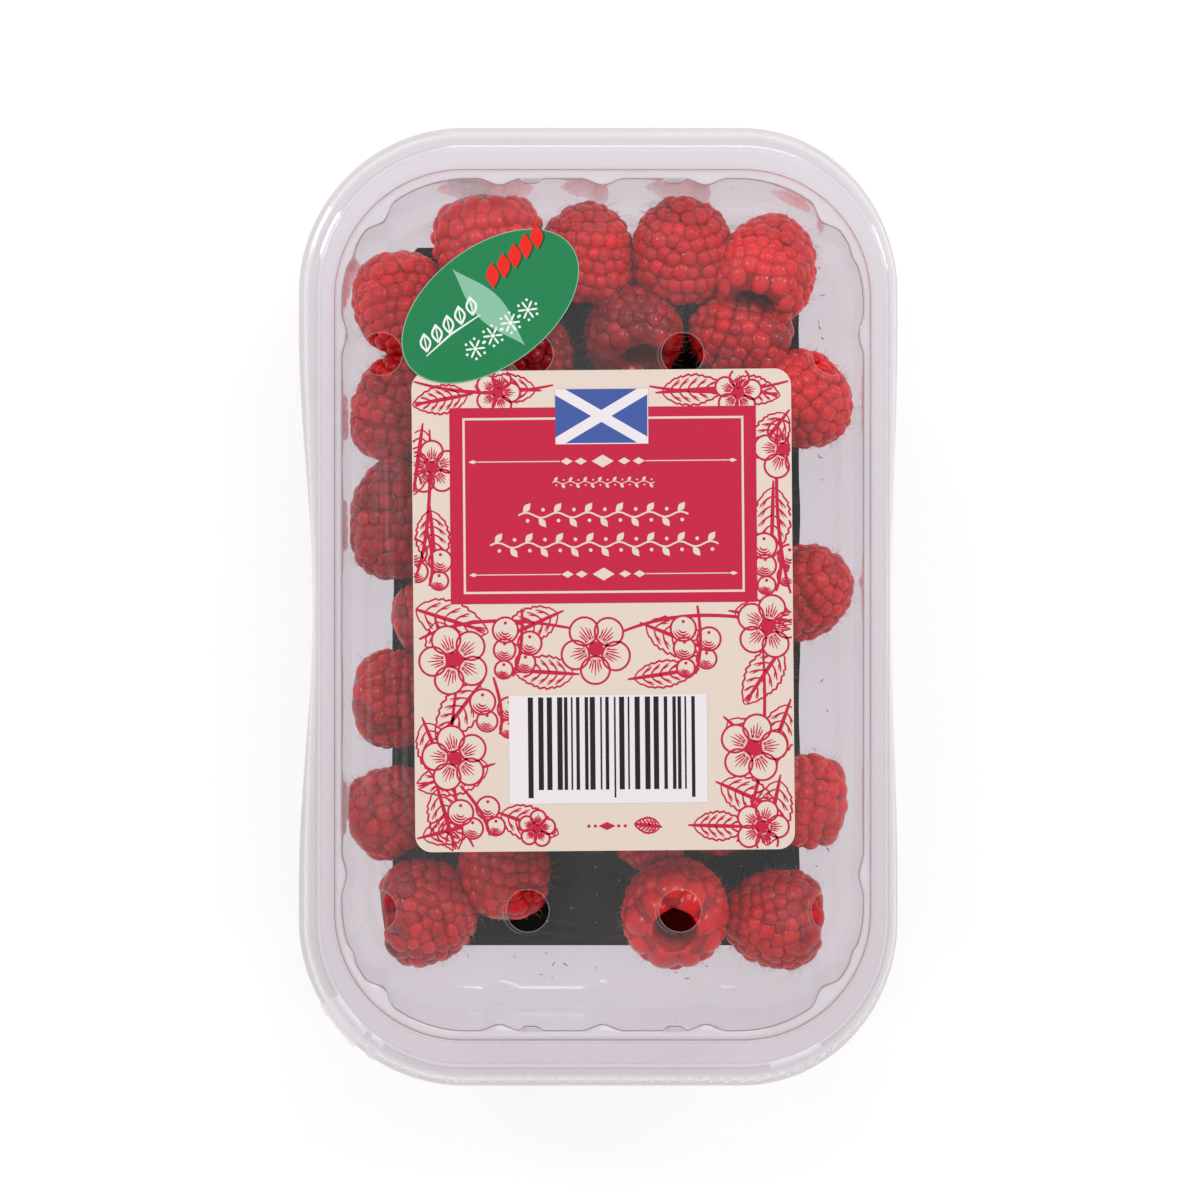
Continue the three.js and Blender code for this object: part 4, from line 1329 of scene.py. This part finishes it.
def skirt_places(stations, share, lift):
    """Places on the film's outer face, from the bead (0) to the edge of the skirt (1)."""
    flare = flare_reach(stations)
    drop = 0.5 + share * (SKIRT_DROP - 0.5)
    return outline(BEAD, FILM_TOP - drop + lift, FILM_CLEAR + FILM + lift + share * flare, stations)


def build_patches():
    """Whitish places where the film came loose from the skirt at both lower corners; the loose film is real,
    its whiteness is painted reflection.
    """
    strips = []
    for flip_x, strip in LOOSE:
        marks = np.array(strip)
        angles = np.arange(marks[0, 0], marks[-1, 0], 0.5)
        inner, outer = (np.interp(angles, marks[:, 0], marks[:, i]) for i in (1, 2))
        inner = inner + draw.uniform(0, 0.12, len(angles))
        outer = outer + draw.normal(0, 0.05, len(angles))
        stations = np.array([(1, flip_x, -1, angle) for angle in angles])
        inward = LOOSE_INWARD * np.clip(1 - inner / 0.3, 0, 1)
        rows = [
            outline(BEAD, FILM_TOP + 0.02, FILM_FLAT - inward, stations),
            outline(BEAD, FILM_TOP + 0.02, -0.35, stations),
            outline(BEAD, FILM_TOP - 0.09, 0.16, stations),
        ]
        rows += [skirt_places(stations, inner + (outer - inner) * s, 0.04) for s in (0, 0.25, 0.5, 0.75, 1)]
        strips.append((np.vstack(rows), ring_faces(rows, closed=False)))
    points, faces = merged(strips)
    make_piece("loose_patches", points, faces.tolist(), "veil")


def build_knurls():
    """Small raised dots in groups along the film's edge at the near end, and slanting nicks at its right,
    painted white as highlights of the knurled edge.
    """
    dots = []
    for step in KNURL_STEPS:
        x = step * KNURL_PITCH
        over = abs(x) - (BEAD["half"][0] - BEAD["corner"])
        flip = 1 if x > 0 else -1
        nick = step in NICK_STEPS
        for spot in range(3):
            along = (spot - 1) * KNURL_SPACING + draw.normal(0, 0.06)
            if over < 0:
                station = (2, 1, -1, x + along)
            else:
                past = math.degrees((over + along * flip) / (BEAD["corner"] + FLARE_END))
                station = (1, flip, -1, 90 - past)
            share = FILM_REACH * (0.97 - (0.1 * spot if nick else 0.05 * (spot % 2)))
            middle = skirt_places(np.array([station], float), share, 0.03)[0]
            radius = draw.uniform(*KNURL_RADIUS) * (NICK_GROWTH if nick else 1)
            corners = [middle + [radius * math.cos(a), radius * math.sin(a), 0.04 * math.sin(a)]
                       for a in np.arange(6) * math.pi / 3]
            dots.append(([middle + [0, 0, 0.08], *corners], [(0, 1 + i, 1 + (i + 1) % 6) for i in range(6)]))
    points, faces = merged(dots)
    make_piece("skirt_knurls", points, faces.tolist(), "painted_glint")


def build_vent_glints():
    """Painted highlights on the cut edges of the vent holes, where they catch the light, and a faint painted
    light arc beside them.
    """
    rims = Print("vent_rims", "rim", "clear_film", FILM_TOP + 0.006, (0.0, 0.0), 0.0)
    radius = VENT_RADIUS + 0.08
    for x, y in VENTS:
        beside = abs(x - LABEL_CENTRE[0]) >= LABEL_SIZE[0] / 2
        if beside or abs(y - LABEL_CENTRE[1]) >= LABEL_SIZE[1] / 2:
            rims.stroke([*circle(x, y, radius, 48), (x + radius, y)], 0.15)
            rims.stroke(arc(x - 0.3, y - 0.2, 4.6, 4.5, np.linspace(2.4, 4.6, 18)), 0.12, 0.3)
    rims.build()


def build_stage():
    """A white table that glows a little, so that nothing casts a shadow on it."""
    mesh = bpy.data.meshes.new("floor")
    reach = FLOOR_REACH * MM
    corners = [(-reach, -reach, 0), (reach, -reach, 0), (reach, reach, 0), (-reach, reach, 0)]
    mesh.from_pydata(corners, [], [(0, 1, 2, 3)])
    material, tree = new_tree("floor_white")
    lit = node(tree, "BsdfDiffuse", {"Color": grey(0.35)}).outputs[0]
    glow = node(tree, "Emission", {"Color": grey(1.0), "Strength": 0.7}).outputs[0]
    finish_tree(tree, node(tree, "AddShader", {0: lit, 1: glow}).outputs[0])
    mesh.materials.append(material)
    floor = add_object("floor", mesh)
    floor.location.z = -FLOOR_DROP * MM


def build_light():
    """An even white room, and three soft lamps beside and behind the punnet."""
    world = bpy.data.worlds.new("studio")
    bpy.context.scene.world = world
    world.use_nodes = True
    background = world.node_tree.nodes["Background"]
    background.inputs["Color"].default_value = grey(1.0)
    background.inputs["Strength"].default_value = 0.6
    for name, place, size, power in (
        ("soft_left", (-0.9, 0.5, 0.9), 0.3, 3.6),
        ("soft_right", (0.9, 0.4, 0.9), 0.3, 3.6),
        ("soft_top", (0.1, 0.75, 1.1), 0.5, 3.5),
    ):
        light = bpy.data.lights.new(name, "AREA")
        light.size = size
        light.energy = power
        lamp = add_object(name, light)
        lamp.location = place
        lamp.rotation_mode = "QUATERNION"
        lamp.rotation_quaternion = (-Vector(place)).to_track_quat("-Z", "Y")


build_stage()
build_light()
build_tray()
build_pad()
covered = [(x, y, *COVERED_SIZE, i * COVERED_TURN, (i % COVERED_TIPS) * COVERED_TIP, 0.0, CROWN)
           for i, (x, y) in enumerate(COVERED)]
build_berries("berries_upper", SHOWN[:UPPER], FINE_DOME, ["berries"])
build_berries("berries_lower", SHOWN[UPPER:], FINE_DOME)
build_berries("berries_covered", covered, PLAIN_DOME)
build_film()
build_label()
build_sticker()
build_hairs()
build_specks()
build_patches()
build_knurls()
build_vent_glints()
